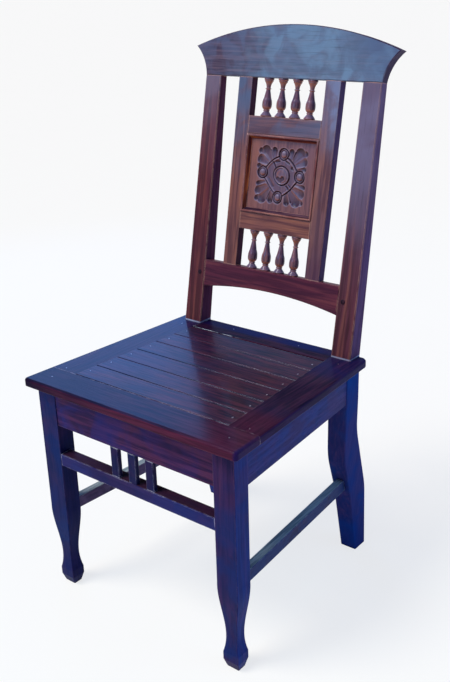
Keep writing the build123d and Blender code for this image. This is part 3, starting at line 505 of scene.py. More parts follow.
    def _stained_and_reflected(self, bench: NodeBench, colour: Socket, place: Socket, stains_and_reflections: Sequence[StainAndReflection]) -> Socket:
        """Lays the overlays, stain and painted reflection alike, over a colour, unevenly, each over its own
        span.

        Args:
            bench: The material's bench.
            colour: What is stained.
            place: Object coordinates.
            stains_and_reflections: The overlays, in order.

        Returns:
            The stained colour.
        """
        for stain in stains_and_reflections:
            feeds = {"Vector": place, "Scale": stain.patches}
            cloud = self._group(bench, SharedEffects.CLOUD, feeds)["Cloud"]
            uneven = bench.ramp(cloud, 0.0, 1.0, 1.0 - stain.uneven, 1.0 + self.PATCH_RISE * stain.uneven)
            along = bench.part(place, stain.axis)
            share = bench.ramp(along, *stain.span, stain.low, stain.high)
            if stain.fade:
                share = bench.maths("MULTIPLY", share, bench.ramp(along, *stain.fade, 1.0, 0.0))
            colour = bench.mix(bench.maths("MULTIPLY", share, uneven), colour, stain.colour)
        return colour

    def _tint_and_painted_light(self, bench: NodeBench, colour: Socket) -> Socket:
        """Painted light and tints that a shaped finish adds to the colour: nothing on plain wood."""
        return colour

    @staticmethod
    def _group(bench: NodeBench, name: str, feeds: dict) -> dict[str, Socket]:
        """Places a shared effect and returns its outputs by name."""
        node = bench.add("ShaderNodeGroup", node_tree=bpy.data.node_groups[name])
        for label, value in feeds.items():
            bench.feed(node.inputs[label], value)
        return {socket.name: socket for socket in node.outputs}


@dataclass(frozen=True)
class ShapedFinish(WoodFinish):
    """A turned or carved wood with painted light: a painted sky reflection on faces that look up the leaning
    back, and a warm painted bounce light on faces that look down.

    Attributes:
        sky_sheen: Colour of the painted sky reflection.
        sky_sheen_share: How much of it shows.
        warm_bounce: Colour of the painted bounce light.
        warm_bounce_share: How much of it shows.
    """

    sky_sheen: Colour = screen_colour(112, 112, 148)
    sky_sheen_share: float = 0.45
    warm_bounce: Colour = screen_colour(182, 92, 48)
    warm_bounce_share: float = 0.6

    def _tint_and_painted_light(self, bench: NodeBench, colour: Socket) -> Socket:
        """Paints the sky reflection on faces that look up and the warm bounce light on faces that look down.
        """
        slope = self._group(bench, SharedEffects.PAINTED_SKY_AND_BOUNCE, {})
        # Painted reflection and bounce light, by which way a face looks.
        sky_sheen_mask = bench.maths("MULTIPLY", slope["Sky Sheen"], self.sky_sheen_share)
        colour = bench.mix(sky_sheen_mask, colour, self.sky_sheen)
        under = bench.maths("MULTIPLY", slope["Warm Bounce"], self.warm_bounce_share)
        return bench.mix(under, colour, self.warm_bounce)


@dataclass(frozen=True)
class CarvedFinish(ShapedFinish):
    """A carved wood with painted shade in its cuts and under its overhangs, and a painted highlight on its
    ridges.

    Attributes:
        worked_colour: Colour that the tooled surfaces take.
        worked_share: How much of it shows.
        cut_shade_colour: Colour of the painted shade in the cuts.
        cut_shade_share: How much of it shows.
        ridge_highlight_share: How much of the painted highlight on the ridges shows.
    """

    worked_colour: Colour = screen_colour(82, 72, 96)
    worked_share: float = 0.55
    cut_shade_colour: Colour = screen_colour(46, 10, 20)
    cut_shade_share: float = 0.92
    ridge_highlight_share: float = 0.5

    WORKED = "worked"
    # The cut attribute marks painted shade, and the ridge attribute a painted highlight.
    CUT_SHADE = "cut"
    RIDGE_HIGHLIGHT = "ridge"

    def _tint_and_painted_light(self, bench: NodeBench, colour: Socket) -> Socket:
        """Tints the tooled surfaces, adds the painted sky reflection and bounce light, and paints shade in
        the cuts and a highlight on the ridges, as they are marked.
        """
        colour = self._marked(bench, colour, self.WORKED, self.worked_share, self.worked_colour)
        colour = super()._tint_and_painted_light(bench, colour)
        colour = self._marked(bench, colour, self.CUT_SHADE, self.cut_shade_share, self.cut_shade_colour)
        return self._marked(bench, colour, self.RIDGE_HIGHLIGHT, self.ridge_highlight_share, self.wear_and_glint_colour)

    @staticmethod
    def _marked(bench: NodeBench, colour: Socket, mark: str, share: float, tone: Colour) -> Socket:
        """Lays a colour where one of the carving's own attributes marks it.

        Args:
            bench: The material's bench.
            colour: What is tinted.
            mark: The attribute's name.
            share: How much of the tone shows.
            tone: The colour that is laid on.

        Returns:
            The tinted colour.
        """
        where = bench.add("ShaderNodeAttribute", attribute_name=mark).outputs["Fac"]
        return bench.mix(bench.maths("MULTIPLY", where, share), colour, tone)


@dataclass(frozen=True)
class MetalFinish:
    """A small fastener's metal.

    Attributes:
        name: Name of the finish.
        bright: Colour where it is clean.
        dull: Colour where it is tarnished.
        roughness: Roughness where it is clean.
        tarnish_roughness: What tarnish adds to it.
        tarnish_scale, tarnish_limits: Cells of tarnish in a metre, and where in their noise it comes in.
    """

    name: str
    bright: Colour
    dull: Colour
    roughness: float
    tarnish_roughness: float = 0.3
    tarnish_scale: float = 420.0
    tarnish_limits: tuple[float, float] = (0.4, 0.7)

    def material(self) -> bpy.types.Material:
        """The finish, built the first time that it is asked for."""
        known = bpy.data.materials.get(self.name)
        return known if known else self._build()

    def _build(self) -> bpy.types.Material:
        """Builds the material's nodes."""
        material = bpy.data.materials.new(self.name)
        material.use_nodes = True
        bench = NodeBench(material.node_tree)
        shader = material.node_tree.nodes["Principled BSDF"]
        place = bench.add("ShaderNodeTexCoord").outputs["Object"]
        cells = bench.noise(place, self.tarnish_scale, detail=4.0)
        tarnish = bench.ramp(cells, *self.tarnish_limits)
        bench.feed(shader.inputs["Base Color"], bench.mix(tarnish, self.bright, self.dull))
        rough = bench.ramp(tarnish, 0.0, 1.0, self.roughness, self.roughness + self.tarnish_roughness)
        bench.feed(shader.inputs["Roughness"], rough)
        shader.inputs["Metallic"].default_value = 1.0
        return material


class Finishes:
    """The chair's finishes."""

    CREST = WoodFinish(
        "crest wood",
        deep=screen_colour(48, 30, 46),
        warm=screen_colour(88, 64, 80),
        glow=screen_colour(130, 96, 98),
        # Painted sky reflection: bluish all over and more so towards the top, pale blue from the middle
        # rightwards, darker blue at the right end.
        stains_and_reflections=(
            StainAndReflection(screen_colour(90, 98, 126), 0.3, 0.5, (0.93, 1.0), uneven=0.7, patches=30.0),
            StainAndReflection(screen_colour(114, 140, 164), 0.0, 0.58, (-0.18, 0.0), "X", uneven=0.4, patches=24.0),
            StainAndReflection(screen_colour(66, 68, 100), 0.0, 0.76, (0.1, 0.21), "X"),
        ),
        # Painted shade by facing: dark purple on the ends and on the top and bottom faces.
        painted_facing_light=screen_colour(40, 20, 58),
        painted_facing_share=0.9,
        painted_facing_axes=(1.0, 0.0, 1.0),
        wear_and_glint_share=0.2,
        contrast=0.7,
        shine=0.06,
        lacquer=0.55,
        lacquer_roughness=0.22,
    )
    POST = WoodFinish(
        "post wood",
        deep=screen_colour(48, 14, 24),
        warm=screen_colour(98, 40, 50),
        glow=screen_colour(146, 78, 60),
        stains_and_reflections=(
            StainAndReflection(screen_colour(116, 102, 120), 0.0, 0.72, (0.7, 0.94)),
            StainAndReflection(screen_colour(68, 20, 40), 0.0, 0.55, (0.48, 0.54), fade=(0.62, 0.76)),
        ),
        # Painted light and shade by facing: the side faces take this colour.
        painted_facing_light=screen_colour(88, 50, 74),
        painted_facing_share=0.96,
        over=(
            StainAndReflection(screen_colour(14, 26, 78), 0.8, 0.0, (0.424, 0.4335)),
            StainAndReflection(screen_colour(30, 72, 146), 0.6, 0.0, (0.405, 0.432)),
            # Painted glint: a thin pale line round the post's foot at the seat's top.
            StainAndReflection(screen_colour(168, 172, 196), 0.0, 1.1, (0.4322, 0.4332), fade=(0.4342, 0.4364)),
        ),
        # Pale edges: a painted highlight along the post's arrises.
        wear_and_glint_colour=screen_colour(204, 152, 132),
        wear_and_glint_from=0.24,
        glow_share=0.4,
        contrast=0.65,
        shine=0.0,
        lacquer=0.32,
        lacquer_roughness=0.3,
        coat_and_edges_from=0.42,
        streaks=150.0,
    )
    RIGHT_POST = replace(
        POST,
        name="right post wood",
        warm=screen_colour(90, 42, 56),
        glow=screen_colour(146, 84, 64),
        stains_and_reflections=(StainAndReflection(screen_colour(102, 90, 114), 0.0, 0.8, (0.52, 0.86)),),
        # Painted light and shade by facing: this post's side faces are lighter.
        painted_facing_light=screen_colour(94, 74, 112),
        over=(*POST.over, StainAndReflection(screen_colour(126, 110, 136), 0.0, 0.5, (0.58, 0.95))),
    )
    STILE = WoodFinish(
        "stile wood",
        deep=screen_colour(64, 28, 40),
        warm=screen_colour(124, 72, 66),
        glow=screen_colour(172, 106, 72),
        stains_and_reflections=(StainAndReflection(screen_colour(86, 94, 120), 0.02, 0.78, (0.7, 0.9), uneven=0.5, patches=16.0),),
        # Painted shade by facing: dark side faces.
        painted_facing_light=screen_colour(52, 18, 46),
        painted_facing_share=0.95,
        wear_and_glint_colour=screen_colour(204, 152, 132),
        wear_and_glint_from=0.24,
        contrast=0.65,
        shine=0.03,
        lacquer=0.36,
        lacquer_roughness=0.3,
        streaks=150.0,
    )
    RIGHT_STILE = replace(
        STILE,
        name="right stile wood",
        warm=screen_colour(112, 68, 70),
        glow=screen_colour(160, 100, 74),
        stains_and_reflections=(
            StainAndReflection(screen_colour(116, 118, 146), 0.05, 0.85, (0.75, 0.87), uneven=0.5, patches=20.0),
            StainAndReflection(screen_colour(66, 32, 62), 0.5, 0.0, (0.56, 0.66)),
        ),
        # Painted shade by facing on this stile's side faces.
        painted_facing_light=screen_colour(74, 58, 106),
    )
    LOWER_RAIL = WoodFinish(
        "lower rail wood",
        deep=screen_colour(44, 12, 26),
        warm=screen_colour(92, 34, 46),
        glow=screen_colour(132, 66, 60),
        stains_and_reflections=(StainAndReflection(screen_colour(84, 56, 86), 0.12, 0.12),),
        contrast=0.6,
        streaks=150.0,
    )
    CARVING = CarvedFinish(
        "carving wood",
        deep=screen_colour(66, 34, 42),
        warm=screen_colour(124, 76, 74),
        glow=screen_colour(160, 98, 74),
        stains_and_reflections=(
            StainAndReflection(screen_colour(108, 90, 110), 0.05, 0.3, (0.74, 0.84)),
            StainAndReflection(screen_colour(150, 88, 66), 0.6, 0.0, (-0.062, -0.03), "X"),
        ),
        # Colour of the painted ridge highlight; this finish has no pale edges.
        wear_and_glint_colour=screen_colour(172, 144, 156),
        wear_and_glint_share=0.0,
        glow_share=0.25,
        contrast=0.55,
        shine=0.2,
        lacquer=0.4,
        lacquer_roughness=0.25,
    )
    BEAD = WoodFinish(
        "bead wood",
        deep=screen_colour(96, 44, 44),
        warm=screen_colour(140, 80, 72),
        glow=screen_colour(186, 116, 82),
        stains_and_reflections=(StainAndReflection(screen_colour(128, 104, 120), 0.1, 0.6, (0.78, 0.84)),),
        # Pale edges: a painted highlight along the bead's ridges.
        wear_and_glint_colour=screen_colour(208, 164, 148),
        wear_and_glint_share=0.9,
    )
    # Painted shade: a darker copy for the bead's top and left slopes, which face away from the light.
    SHADED_SLOPE = WoodFinish(
        "dark slope wood",
        deep=screen_colour(60, 10, 12),
        warm=screen_colour(116, 38, 28),
        glow=screen_colour(190, 104, 50),
        glow_share=0.7,
        wear_and_glint_share=0.0,
    )
    # Painted light: the lit copy for the bead's bottom and right slopes.
    LIT_SLOPE = WoodFinish(
        "pale slope wood",
        deep=screen_colour(40, 18, 34),
        warm=screen_colour(88, 56, 70),
        glow=screen_colour(120, 82, 84),
        wear_and_glint_share=0.0,
    )
    TURNING = ShapedFinish(
        "turned wood",
        deep=screen_colour(44, 16, 26),
        warm=screen_colour(116, 68, 74),
        glow=screen_colour(190, 112, 72),
        stains_and_reflections=(StainAndReflection(screen_colour(100, 94, 122), 0.1, 0.25, (0.6, 0.9)),),
        # Painted shade by facing: darker on the balusters' sides.
        painted_facing_light=screen_colour(44, 26, 56),
        painted_facing_share=0.6,
        contrast=0.55,
        shine=0.2,
        lacquer=0.4,
        # Painted sky reflection on faces that look up, and painted warm bounce light on faces that look down.
        sky_sheen_share=0.3,
        warm_bounce=screen_colour(186, 102, 60),
        warm_bounce_share=0.55,
    )
    SEAT = WoodFinish(
        "seat wood",
        deep=screen_colour(20, 7, 18),
        warm=screen_colour(72, 26, 36),
        glow=screen_colour(112, 52, 50),
        stains_and_reflections=(
            StainAndReflection(screen_colour(34, 24, 58), 0.15, 0.15),
            # Painted sky reflection: blue, strongest over the left of the seat and fading towards the right.
            StainAndReflection(screen_colour(22, 28, 74), 0.4, 0.1, (-0.18, 0.12), "X"),
        ),
        # Painted glints: pale lines along the slats' long edges, coming in towards the right.
        wear_and_glint_colour=screen_colour(204, 204, 220),
        wear_and_glint_share=1.0,
        wear_and_glint_width=2.2 * MM,
        wear_and_glint_from=0.22,
        wear_and_glint_axes=(0.0, 1.0, 0.0),
        wear_and_glint_along=(-0.12, 0.08),
        roughness=0.36,
        shine=0.15,
        lacquer=0.45,
        lacquer_roughness=0.12,
    )
    SEAT_RIM = WoodFinish(
        "seat rim wood",
        deep=screen_colour(18, 8, 26),
        warm=screen_colour(52, 24, 44),
        glow=screen_colour(84, 44, 60),
        stains_and_reflections=(
            StainAndReflection(screen_colour(26, 24, 68), 0.35, 0.35),
            StainAndReflection(screen_colour(92, 26, 38), 0.0, 0.42, (0.06, 0.18), "X"),
        ),
        # Painted light and shade by facing: reddish front, back and side faces.
        painted_facing_light=screen_colour(88, 34, 54),
        painted_facing_share=0.92,
        painted_facing_axes=(1.0, 1.0, 0.0),
        over=(
            StainAndReflection(screen_colour(20, 4, 34), 1.0, 0.0, (-0.24, 0.0), "X"),
            StainAndReflection(screen_colour(40, 24, 72), 0.0, 0.95, (0.23, 0.238), "X"),
        ),
        wear_and_glint_colour=screen_colour(186, 166, 174),
        wear_and_glint_width=2.6 * MM,
        wear_and_glint_from=0.38,
        roughness=0.36,
        shine=0.04,
        lacquer=0.43,
        lacquer_roughness=0.11,
    )
    SEAT_SIDE = replace(
        SEAT_RIM,
        name="seat side wood",
        # Painted shade by facing: dark purple front, back and side faces.
        painted_facing_light=screen_colour(38, 24, 72),
        over=(StainAndReflection(screen_colour(20, 24, 78), 0.0, 0.7, (0.03, 0.07), "Y"),),
        wear_and_glint_share=0.15,
        lacquer=0.48,
    )
    SEAT_RIGHT = replace(
        SEAT_SIDE,
        name="seat right wood",
        stains_and_reflections=(
            StainAndReflection(screen_colour(26, 20, 60), 0.35, 0.35),
            StainAndReflection(screen_colour(92, 26, 38), 0.3, 0.0, (-0.15, -0.11), "Y"),
        ),
        wear_and_glint_share=0.3,
        shine=0.03,
        lacquer=0.18,
    )
    SEAT_REAR = replace(
        SEAT_RIM,
        name="seat rear wood",
        stains_and_reflections=(StainAndReflection(screen_colour(12, 22, 78), 0.1, 0.95, (0.128, 0.142), "Y"),),
        # Painted light: bright white dashes along the board's edges towards its left end, where light shows
        # through the gap.
        wear_and_glint_colour=screen_colour(232, 234, 240),
        wear_and_glint_share=1.0,
        wear_and_glint_width=2.4 * MM,
        wear_and_glint_along=(-0.02, -0.07),
        shine=0.03,
        lacquer=0.1,
    )
    UNDERFRAME = WoodFinish(
        "underframe wood",
        deep=screen_colour(18, 12, 38),
        warm=screen_colour(66, 32, 66),
        glow=screen_colour(108, 54, 66),
        stains_and_reflections=(StainAndReflection(screen_colour(26, 38, 88), 0.86, 0.4, (0.2, 0.42), uneven=0.4, patches=14.0),),
        # Painted light by facing: blue on the faces that look left and right.
        painted_facing_light=screen_colour(22, 52, 126),
        painted_facing_share=0.88,
        over=(StainAndReflection(screen_colour(84, 36, 64), 0.03, 0.12, (0.15, 0.42), uneven=1.0, patches=24.0),),
        wear_and_glint_colour=screen_colour(160, 122, 130),
        wear_and_glint_share=0.4,
        contrast=0.75,
        shine=0.05,
        lacquer=0.0,
        streaks=140.0,
    )
    # Painted shade: a darker copy of the underframe for the left leg, which stands in the chair's shade, with
    # darker side faces.
    SHADED_LEFT_LEG = replace(
        UNDERFRAME,
        name="left leg wood",
        warm=screen_colour(44, 30, 66),
        glow=screen_colour(78, 50, 72),
        stains_and_reflections=(StainAndReflection(screen_colour(12, 34, 86), 0.9, 0.86, (0.25, 0.42)),),
        painted_facing_light=screen_colour(18, 24, 72),
    )
    FRONT_APRON = replace(
        UNDERFRAME,
        name="front apron wood",
        warm=screen_colour(78, 36, 64),
        stains_and_reflections=(StainAndReflection(screen_colour(36, 38, 100), 0.62, 0.25, (-0.2, 0.16), "X", uneven=0.7, patches=16.0),),
    )
    FRONT_STRETCHER = replace(
        UNDERFRAME,
        name="front stretcher wood",
        warm=screen_colour(46, 32, 68),
        glow=screen_colour(82, 52, 70),
        stains_and_reflections=(StainAndReflection(screen_colour(34, 42, 98), 0.7, 0.7),),
        # Painted shade by facing: dark top and bottom faces.
        painted_facing_light=screen_colour(44, 20, 28),
        painted_facing_axes=(0.0, 0.0, 1.0),
        wear_and_glint_colour=screen_colour(186, 178, 190),
        wear_and_glint_share=0.95,
    )
    FRONT_BAR = replace(
        FRONT_STRETCHER,
        name="front bar wood",
        warm=screen_colour(32, 26, 58),
        glow=screen_colour(52, 40, 64),
        stains_and_reflections=(StainAndReflection(screen_colour(18, 30, 74), 0.85, 0.85),),
    )
    STRETCHER = WoodFinish(
        "stretcher wood",
        deep=screen_colour(22, 18, 42),
        warm=screen_colour(60, 44, 72),
        glow=screen_colour(92, 64, 80),
        stains_and_reflections=(StainAndReflection(screen_colour(40, 56, 101), 0.82, 0.82, uneven=0.5, patches=18.0),),
        # Painted light by facing: pale top and bottom faces, though the seat shades the top.
        painted_facing_light=screen_colour(166, 182, 184),
        painted_facing_share=0.92,
        painted_facing_axes=(0.0, 0.0, 1.0),
        wear_and_glint_colour=screen_colour(176, 190, 206),
        wear_and_glint_share=0.9,
        shine=0.05,
        lacquer=0.0,
    )
    LEFT_STRETCHER = replace(
        STRETCHER,
        name="left stretcher wood",
        stains_and_reflections=(StainAndReflection(screen_colour(98, 80, 110), 0.85, 0.85, uneven=0.5, patches=18.0),),
    )
    RAW = WoodFinish(
        "unstained wood",
        deep=screen_colour(92, 62, 44),
        warm=screen_colour(142, 104, 76),
        glow=screen_colour(168, 128, 96),
        roughness=0.62,
        lacquer=0.0,
    )
    PEG = WoodFinish(
        "peg wood",
        deep=screen_colour(26, 12, 22),
        warm=screen_colour(48, 22, 34),
        glow=screen_colour(70, 40, 44),
        wear_and_glint_share=0.0,
    )
    PIN = MetalFinish("pin steel", screen_colour(214, 206, 204), screen_colour(120, 104, 104), 0.3)
    SCREW = MetalFinish("zinc screw", screen_colour(196, 198, 204), screen_colour(128, 126, 122), 0.35)


def numbered(stem: str, count: int) -> tuple[str, ...]:
    """Names of a row of nodes, counted from 1."""
    return tuple(f"{stem}_{index + 1}" for index in range(count))


def both_sides(stem: str) -> tuple[str, str]:
    """Names of a left and right pair."""
    return f"{stem}_left", f"{stem}_right"


def place_in_scene(name: str, data: bpy.types.ID) -> bpy.types.Object:
    """Puts a mesh, a lamp or a camera in the scene and returns its object."""
    holder = bpy.data.objects.new(name, data)
    bpy.context.scene.collection.objects.link(holder)
    return holder


def seat_piece(piece: bpy.types.Object, slot: str, *nodes: str) -> None:
    """Lets a finished piece stand for CAD nodes.

    Args:
        piece: The finished piece, in place.
        slot: The record's material slot; not used.
        nodes: The nodes that it stands for.
    """
    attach(piece, BODY)
    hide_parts(*nodes)


class RakedBack:
    """The leaning back as a frame of its own: across, up the rake, and backwards."""

    axes = np.array(
        ((1.0, 0.0, 0.0), (0.0, math.sin(RAKE), math.cos(RAKE)), (0.0, math.cos(RAKE), -math.sin(RAKE)))
    )

    @classmethod
    def span(cls, node: str) -> tuple[np.ndarray, np.ndarray]:
        """Measures a node in the leaning frame.

        Args:
            node: The node's name.

        Returns:
            Its lowest and highest (across, rise, depth), in metres.
        """
        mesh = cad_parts[node].data
        places = np.empty(len(mesh.vertices) * 3)
        mesh.vertices.foreach_get("co", places)
        local = places.reshape(-1, 3) @ cls.axes.T
        return local.min(axis=0), local.max(axis=0)

    @classmethod
    def place(cls, local: np.ndarray) -> np.ndarray:
        """Turns (across, rise, depth) rows into places in the chair's own frame."""
        return np.asarray(local) @ cls.axes


@dataclass(frozen=True)
class ProfilePoint:
    """A point of a turned profile.

    Attributes:
        rise: Distance along the axis from the foot.
        radius: Radius there.
        sharp: Whether the profile has a corner there.
    """

    rise: float
    radius: float
    sharp: bool = False


class TurningTree:
    """A Geometry Nodes tree that turns one profile and stands it at each point of a mesh."""

    AXIS = "axis"
    INPUTS = {
        "Geometry": "NodeSocketGeometry",
        "Length": "NodeSocketFloat",
        "Widest Radius": "NodeSocketFloat",
        "Rings": "NodeSocketInt",
        "Sides": "NodeSocketInt",
        "Finish": "NodeSocketMaterial",
    }

    def __init__(self, name: str, profile: Sequence[ProfilePoint]) -> None:
        """Builds the tree.

        Args:
            name: The tree's name.
            profile: The profile from the foot to the head, in metres.
        """
        self.length = profile[-1].rise
        self.widest = max(point.radius for point in profile)
        self.tree = bpy.data.node_groups.new(name, "GeometryNodeTree")
        interface = self.tree.interface
        self._sockets = {
            label: interface.new_socket(name=label, in_out="INPUT", socket_type=kind).identifier
            for label, kind in self.INPUTS.items()
        }
        interface.new_socket(name="Geometry", in_out="OUTPUT", socket_type="NodeSocketGeometry")
        self._wire(profile)

    def _wire(self, profile: Sequence[ProfilePoint]) -> None:
        """Joins the tree's nodes."""
        bench = NodeBench(self.tree)
        given = bench.add("NodeGroupInput").outputs
        head = bench.add("ShaderNodeCombineXYZ", {"Z": given["Length"]}).outputs[0]
        axis = bench.add("GeometryNodeCurvePrimitiveLine", {"End": head}).outputs[0]
        rings = bench.add("GeometryNodeResampleCurve", {"Curve": axis, "Count": given["Rings"]}).outputs[0]
        along = bench.add("GeometryNodeSplineParameter").outputs["Factor"]
        curve = bench.add("ShaderNodeFloatCurve", {"Value": along})
        self._draw(curve.mapping, profile)
        radius = bench.maths("MULTIPLY", curve.outputs[0], given["Widest Radius"], clamp=False)
        circle = bench.add("GeometryNodeCurvePrimitiveCircle", {"Resolution": given["Sides"], "Radius": 1.0})
        feeds = {"Curve": rings, "Profile Curve": circle.outputs[0], "Scale": radius, "Fill Caps": True}
        turned = bench.add("GeometryNodeCurveToMesh", feeds).outputs[0]
        way = bench.add("GeometryNodeInputNamedAttribute", {"Name": self.AXIS}, data_type="FLOAT_VECTOR")
        turn = bench.add("FunctionNodeAlignRotationToVector", {"Vector": way.outputs[0]}, axis="Z")
        feeds = {"Points": given["Geometry"], "Instance": turned, "Rotation": turn.outputs[0]}
        stood = bench.add("GeometryNodeInstanceOnPoints", feeds).outputs[0]
        solid = bench.add("GeometryNodeRealizeInstances", {"Geometry": stood}).outputs[0]
        smooth = bench.add("GeometryNodeSetShadeSmooth", {"Geometry": solid}).outputs[0]
        feeds = {"Geometry": smooth, "Material": given["Finish"]}
        dressed = bench.add("GeometryNodeSetMaterial", feeds).outputs[0]
        bench.add("NodeGroupOutput", {"Geometry": dressed})

    def _draw(self, mapping: bpy.types.CurveMapping, profile: Sequence[ProfilePoint]) -> None:
        """Draws the profile into a curve whose height is the share of the widest radius."""
        points = mapping.curves[0].points
        for _ in profile[2:]:
            points.new(0.5, 0.5)
        for point, turned in zip(points, profile):
            point.location = (turned.rise / self.length, turned.radius / self.widest)
            point.handle_type = "VECTOR" if turned.sharp else "AUTO_CLAMPED"
        mapping.update()

    def make(
        self,
        name: str,
        feet: Sequence[Vector],
        axis: Vector,
        rings: int,
        sides: int,
        finish: bpy.types.Material,
    ) -> bpy.types.Object:
        """Turns pieces and stands them at their feet.

        Args:
            name: Name of the finished piece.
            feet: Where each copy's axis starts.
            axis: The way that the axis points.
            rings: Sections along the axis.
            sides: Sides of each section.
            finish: The material.

        Returns:
            The piece, as a plain mesh at the origin.
        """
        seed = bpy.data.meshes.new(f"{name} feet")
        seed.from_pydata([tuple(foot) for foot in feet], [], [])
        ways = seed.attributes.new(self.AXIS, "FLOAT_VECTOR", "POINT")
        ways.data.foreach_set("vector", [part for _ in feet for part in axis])
        piece = place_in_scene(name, seed)
        modifier = piece.modifiers.new("turning", "NODES")
        modifier.node_group = self.tree
        values = {
            "Length": self.length,
            "Widest Radius": self.widest,
            "Rings": rings,
            "Sides": sides,
            "Finish": finish,
        }
        for label, value in values.items():
            modifier[self._sockets[label]] = value
        depsgraph = bpy.context.evaluated_depsgraph_get()
        mesh = bpy.data.meshes.new_from_object(piece.evaluated_get(depsgraph))
        piece.modifiers.remove(modifier)
        piece.data = mesh
        bpy.data.meshes.remove(seed)
        mesh.name = name
        return piece


@dataclass
class BalusterRow:
    """A row of turned balusters between two rails.

    Attributes:
        row: Which row, as its nodes are named.
        count: How many stand in it.
        tenon_length, tenon_radius: The round tenons at both ends.
        base_radius, base_height: The disc at the foot.
        waist_radius, waist_rise: The narrow place over the base.
        bead_radius, bead_height: The small ring over the waist.
        belly_radius, belly_rise: The swelling.
        neck_radius: The slim neck.
        ring_radius, ring_height, ring_drop: The ring at the neck, and its distance from the top.
        stem_radius, stem_drop: The stem under the cup, and its distance from the top.
        cup_radius, cup_drop: The flare under the cap, and its distance from the top.
        cap_radius, cap_height: The disc at the top.
        step: Rise over which a sharp edge steps in or out.
        rings, sides: Sections along a baluster, and sides of each.
    """

    row: str
    count: int = 4
    tenon_length: float = 9.0 * MM
    tenon_radius: float = 3.5 * MM
    base_radius: float = 10.5 * MM
    base_height: float = 1.8 * MM
    waist_radius: float = 4.9 * MM
    waist_rise: float = 9.4 * MM
    bead_radius: float = 6.2 * MM
    bead_height: float = 2.4 * MM
    belly_radius: float = 9.1 * MM
    belly_rise: float = 21.5 * MM
    neck_radius: float = 3.7 * MM
    ring_radius: float = 5.4 * MM
    ring_height: float = 2.4 * MM
    ring_drop: float = 20.5 * MM
    stem_radius: float = 4.6 * MM
    stem_drop: float = 13.0 * MM
    cup_radius: float = 8.2 * MM
    cup_drop: float = 5.6 * MM
    cap_radius: float = 9.2 * MM
    cap_height: float = 4.0 * MM
    step: float = 0.2 * MM
    rings: int = 220
    sides: int = 40

    def nodes(self) -> tuple[str, ...]:
        """Names of the row's CAD nodes."""
        return numbered(f"{self.row}_baluster", self.count)

    def profile(self, length: float) -> list[ProfilePoint]:
        """The turned profile.

        Args:
            length: From the end of one tenon to the end of the other.

        Returns:
            The profile's points, from foot to head.
        """
        foot = self.tenon_length
        top = length - self.tenon_length
        ring = top - self.ring_drop
        bead_middle = foot + self.waist_rise + self.bead_height / 2
        step = self.step
        return [
            ProfilePoint(0.0, self.tenon_radius, True),
            ProfilePoint(foot - step, self.tenon_radius, True),
            ProfilePoint(foot, self.base_radius, True),
            ProfilePoint(foot + self.base_height, self.base_radius, True),
            ProfilePoint(foot + self.waist_rise, self.waist_radius, True),
            ProfilePoint(bead_middle, self.bead_radius),
            ProfilePoint(bead_middle + self.bead_height / 2, self.waist_radius + step, True),
            ProfilePoint(foot + self.belly_rise, self.belly_radius),
            ProfilePoint((foot + self.belly_rise + ring) / 2, (self.belly_radius + self.neck_radius) / 2),
            ProfilePoint(ring, self.neck_radius, True),
            ProfilePoint(ring + self.ring_height / 2, self.ring_radius),
            ProfilePoint(ring + self.ring_height, self.neck_radius, True),
            ProfilePoint(top - self.stem_drop, self.stem_radius),
            ProfilePoint(top - self.cup_drop, self.cup_radius, True),
            ProfilePoint(top - self.cap_height, self.cup_radius - 2 * step, True),
            ProfilePoint(top - self.cap_height + step, self.cap_radius, True),
            ProfilePoint(top, self.cap_radius, True),
            ProfilePoint(top + step, self.tenon_radius, True),
            ProfilePoint(length, self.tenon_radius, True),
        ]

    def build(self) -> list[str]:
        """Turns the row's balusters and lets each stand for its node.

        Returns:
            Names of the pieces.
        """
        low, high = RakedBack.span(self.nodes()[0])
        tree = TurningTree(f"turned {self.row} baluster", self.profile(high[1] - low[1]))
        finish = Finishes.TURNING.material(Grain.RAKED)
        axis = Vector(RakedBack.axes[1])
        names = []
        for node in self.nodes():
            low, high = RakedBack.span(node)
            middle = (low + high) / 2
            foot = Vector(RakedBack.place((middle[0], low[1], middle[2])))
            piece = tree.make(f"turned_{node}", [foot], axis, self.rings, self.sides, finish)
            seat_piece(piece, "carved_wood", node)
            names.append(piece.name)
        return names


@dataclass
class RailPegs:
    """The two pegs that lock the lower rail, with low round heads on the posts.

    Attributes:
        proud: How far the plain pegs stand out of the posts.
        head: The heads' profile over the posts' faces.
        rings, sides: Sections along a peg, and sides of each.
    """

    proud: float = 0.3 * MM
    head: tuple[ProfilePoint, ...] = (
        ProfilePoint(0.1 * MM, 4.8 * MM, True),
        ProfilePoint(0.7 * MM, 3.84 * MM),
        ProfilePoint(1.0 * MM, 1.44 * MM, True),
    )
    rings: int = 90
    sides: int = 32

    NODE = "rail_pegs"

    def build(self) -> list[str]:
        """Turns the pegs and lets them stand for their node.

        Returns:
            Names of the pieces.
        """
        low, high = RakedBack.span(self.NODE)
        shank_radius = (high[1] - low[1]) / 2
        seat = high[2] - low[2] - self.proud
        profile = [ProfilePoint(0.0, shank_radius, True), ProfilePoint(seat, shank_radius, True)]
        profile += [replace(point, rise=seat + point.rise) for point in self.head]
        rise = (low[1] + high[1]) / 2
        feet = [
            Vector(RakedBack.place((across, rise, high[2])))
            for across in (low[0] + shank_radius, high[0] - shank_radius)
        ]
        tree = TurningTree("turned peg", profile)
        forward = -Vector(RakedBack.axes[2])
        finish = Finishes.PEG.material(Grain.RAKED)
        piece = tree.make("turned_rail_pegs", feet, forward, self.rings, self.sides, finish)
        seat_piece(piece, "peg_wood", self.NODE)
        return [piece.name]


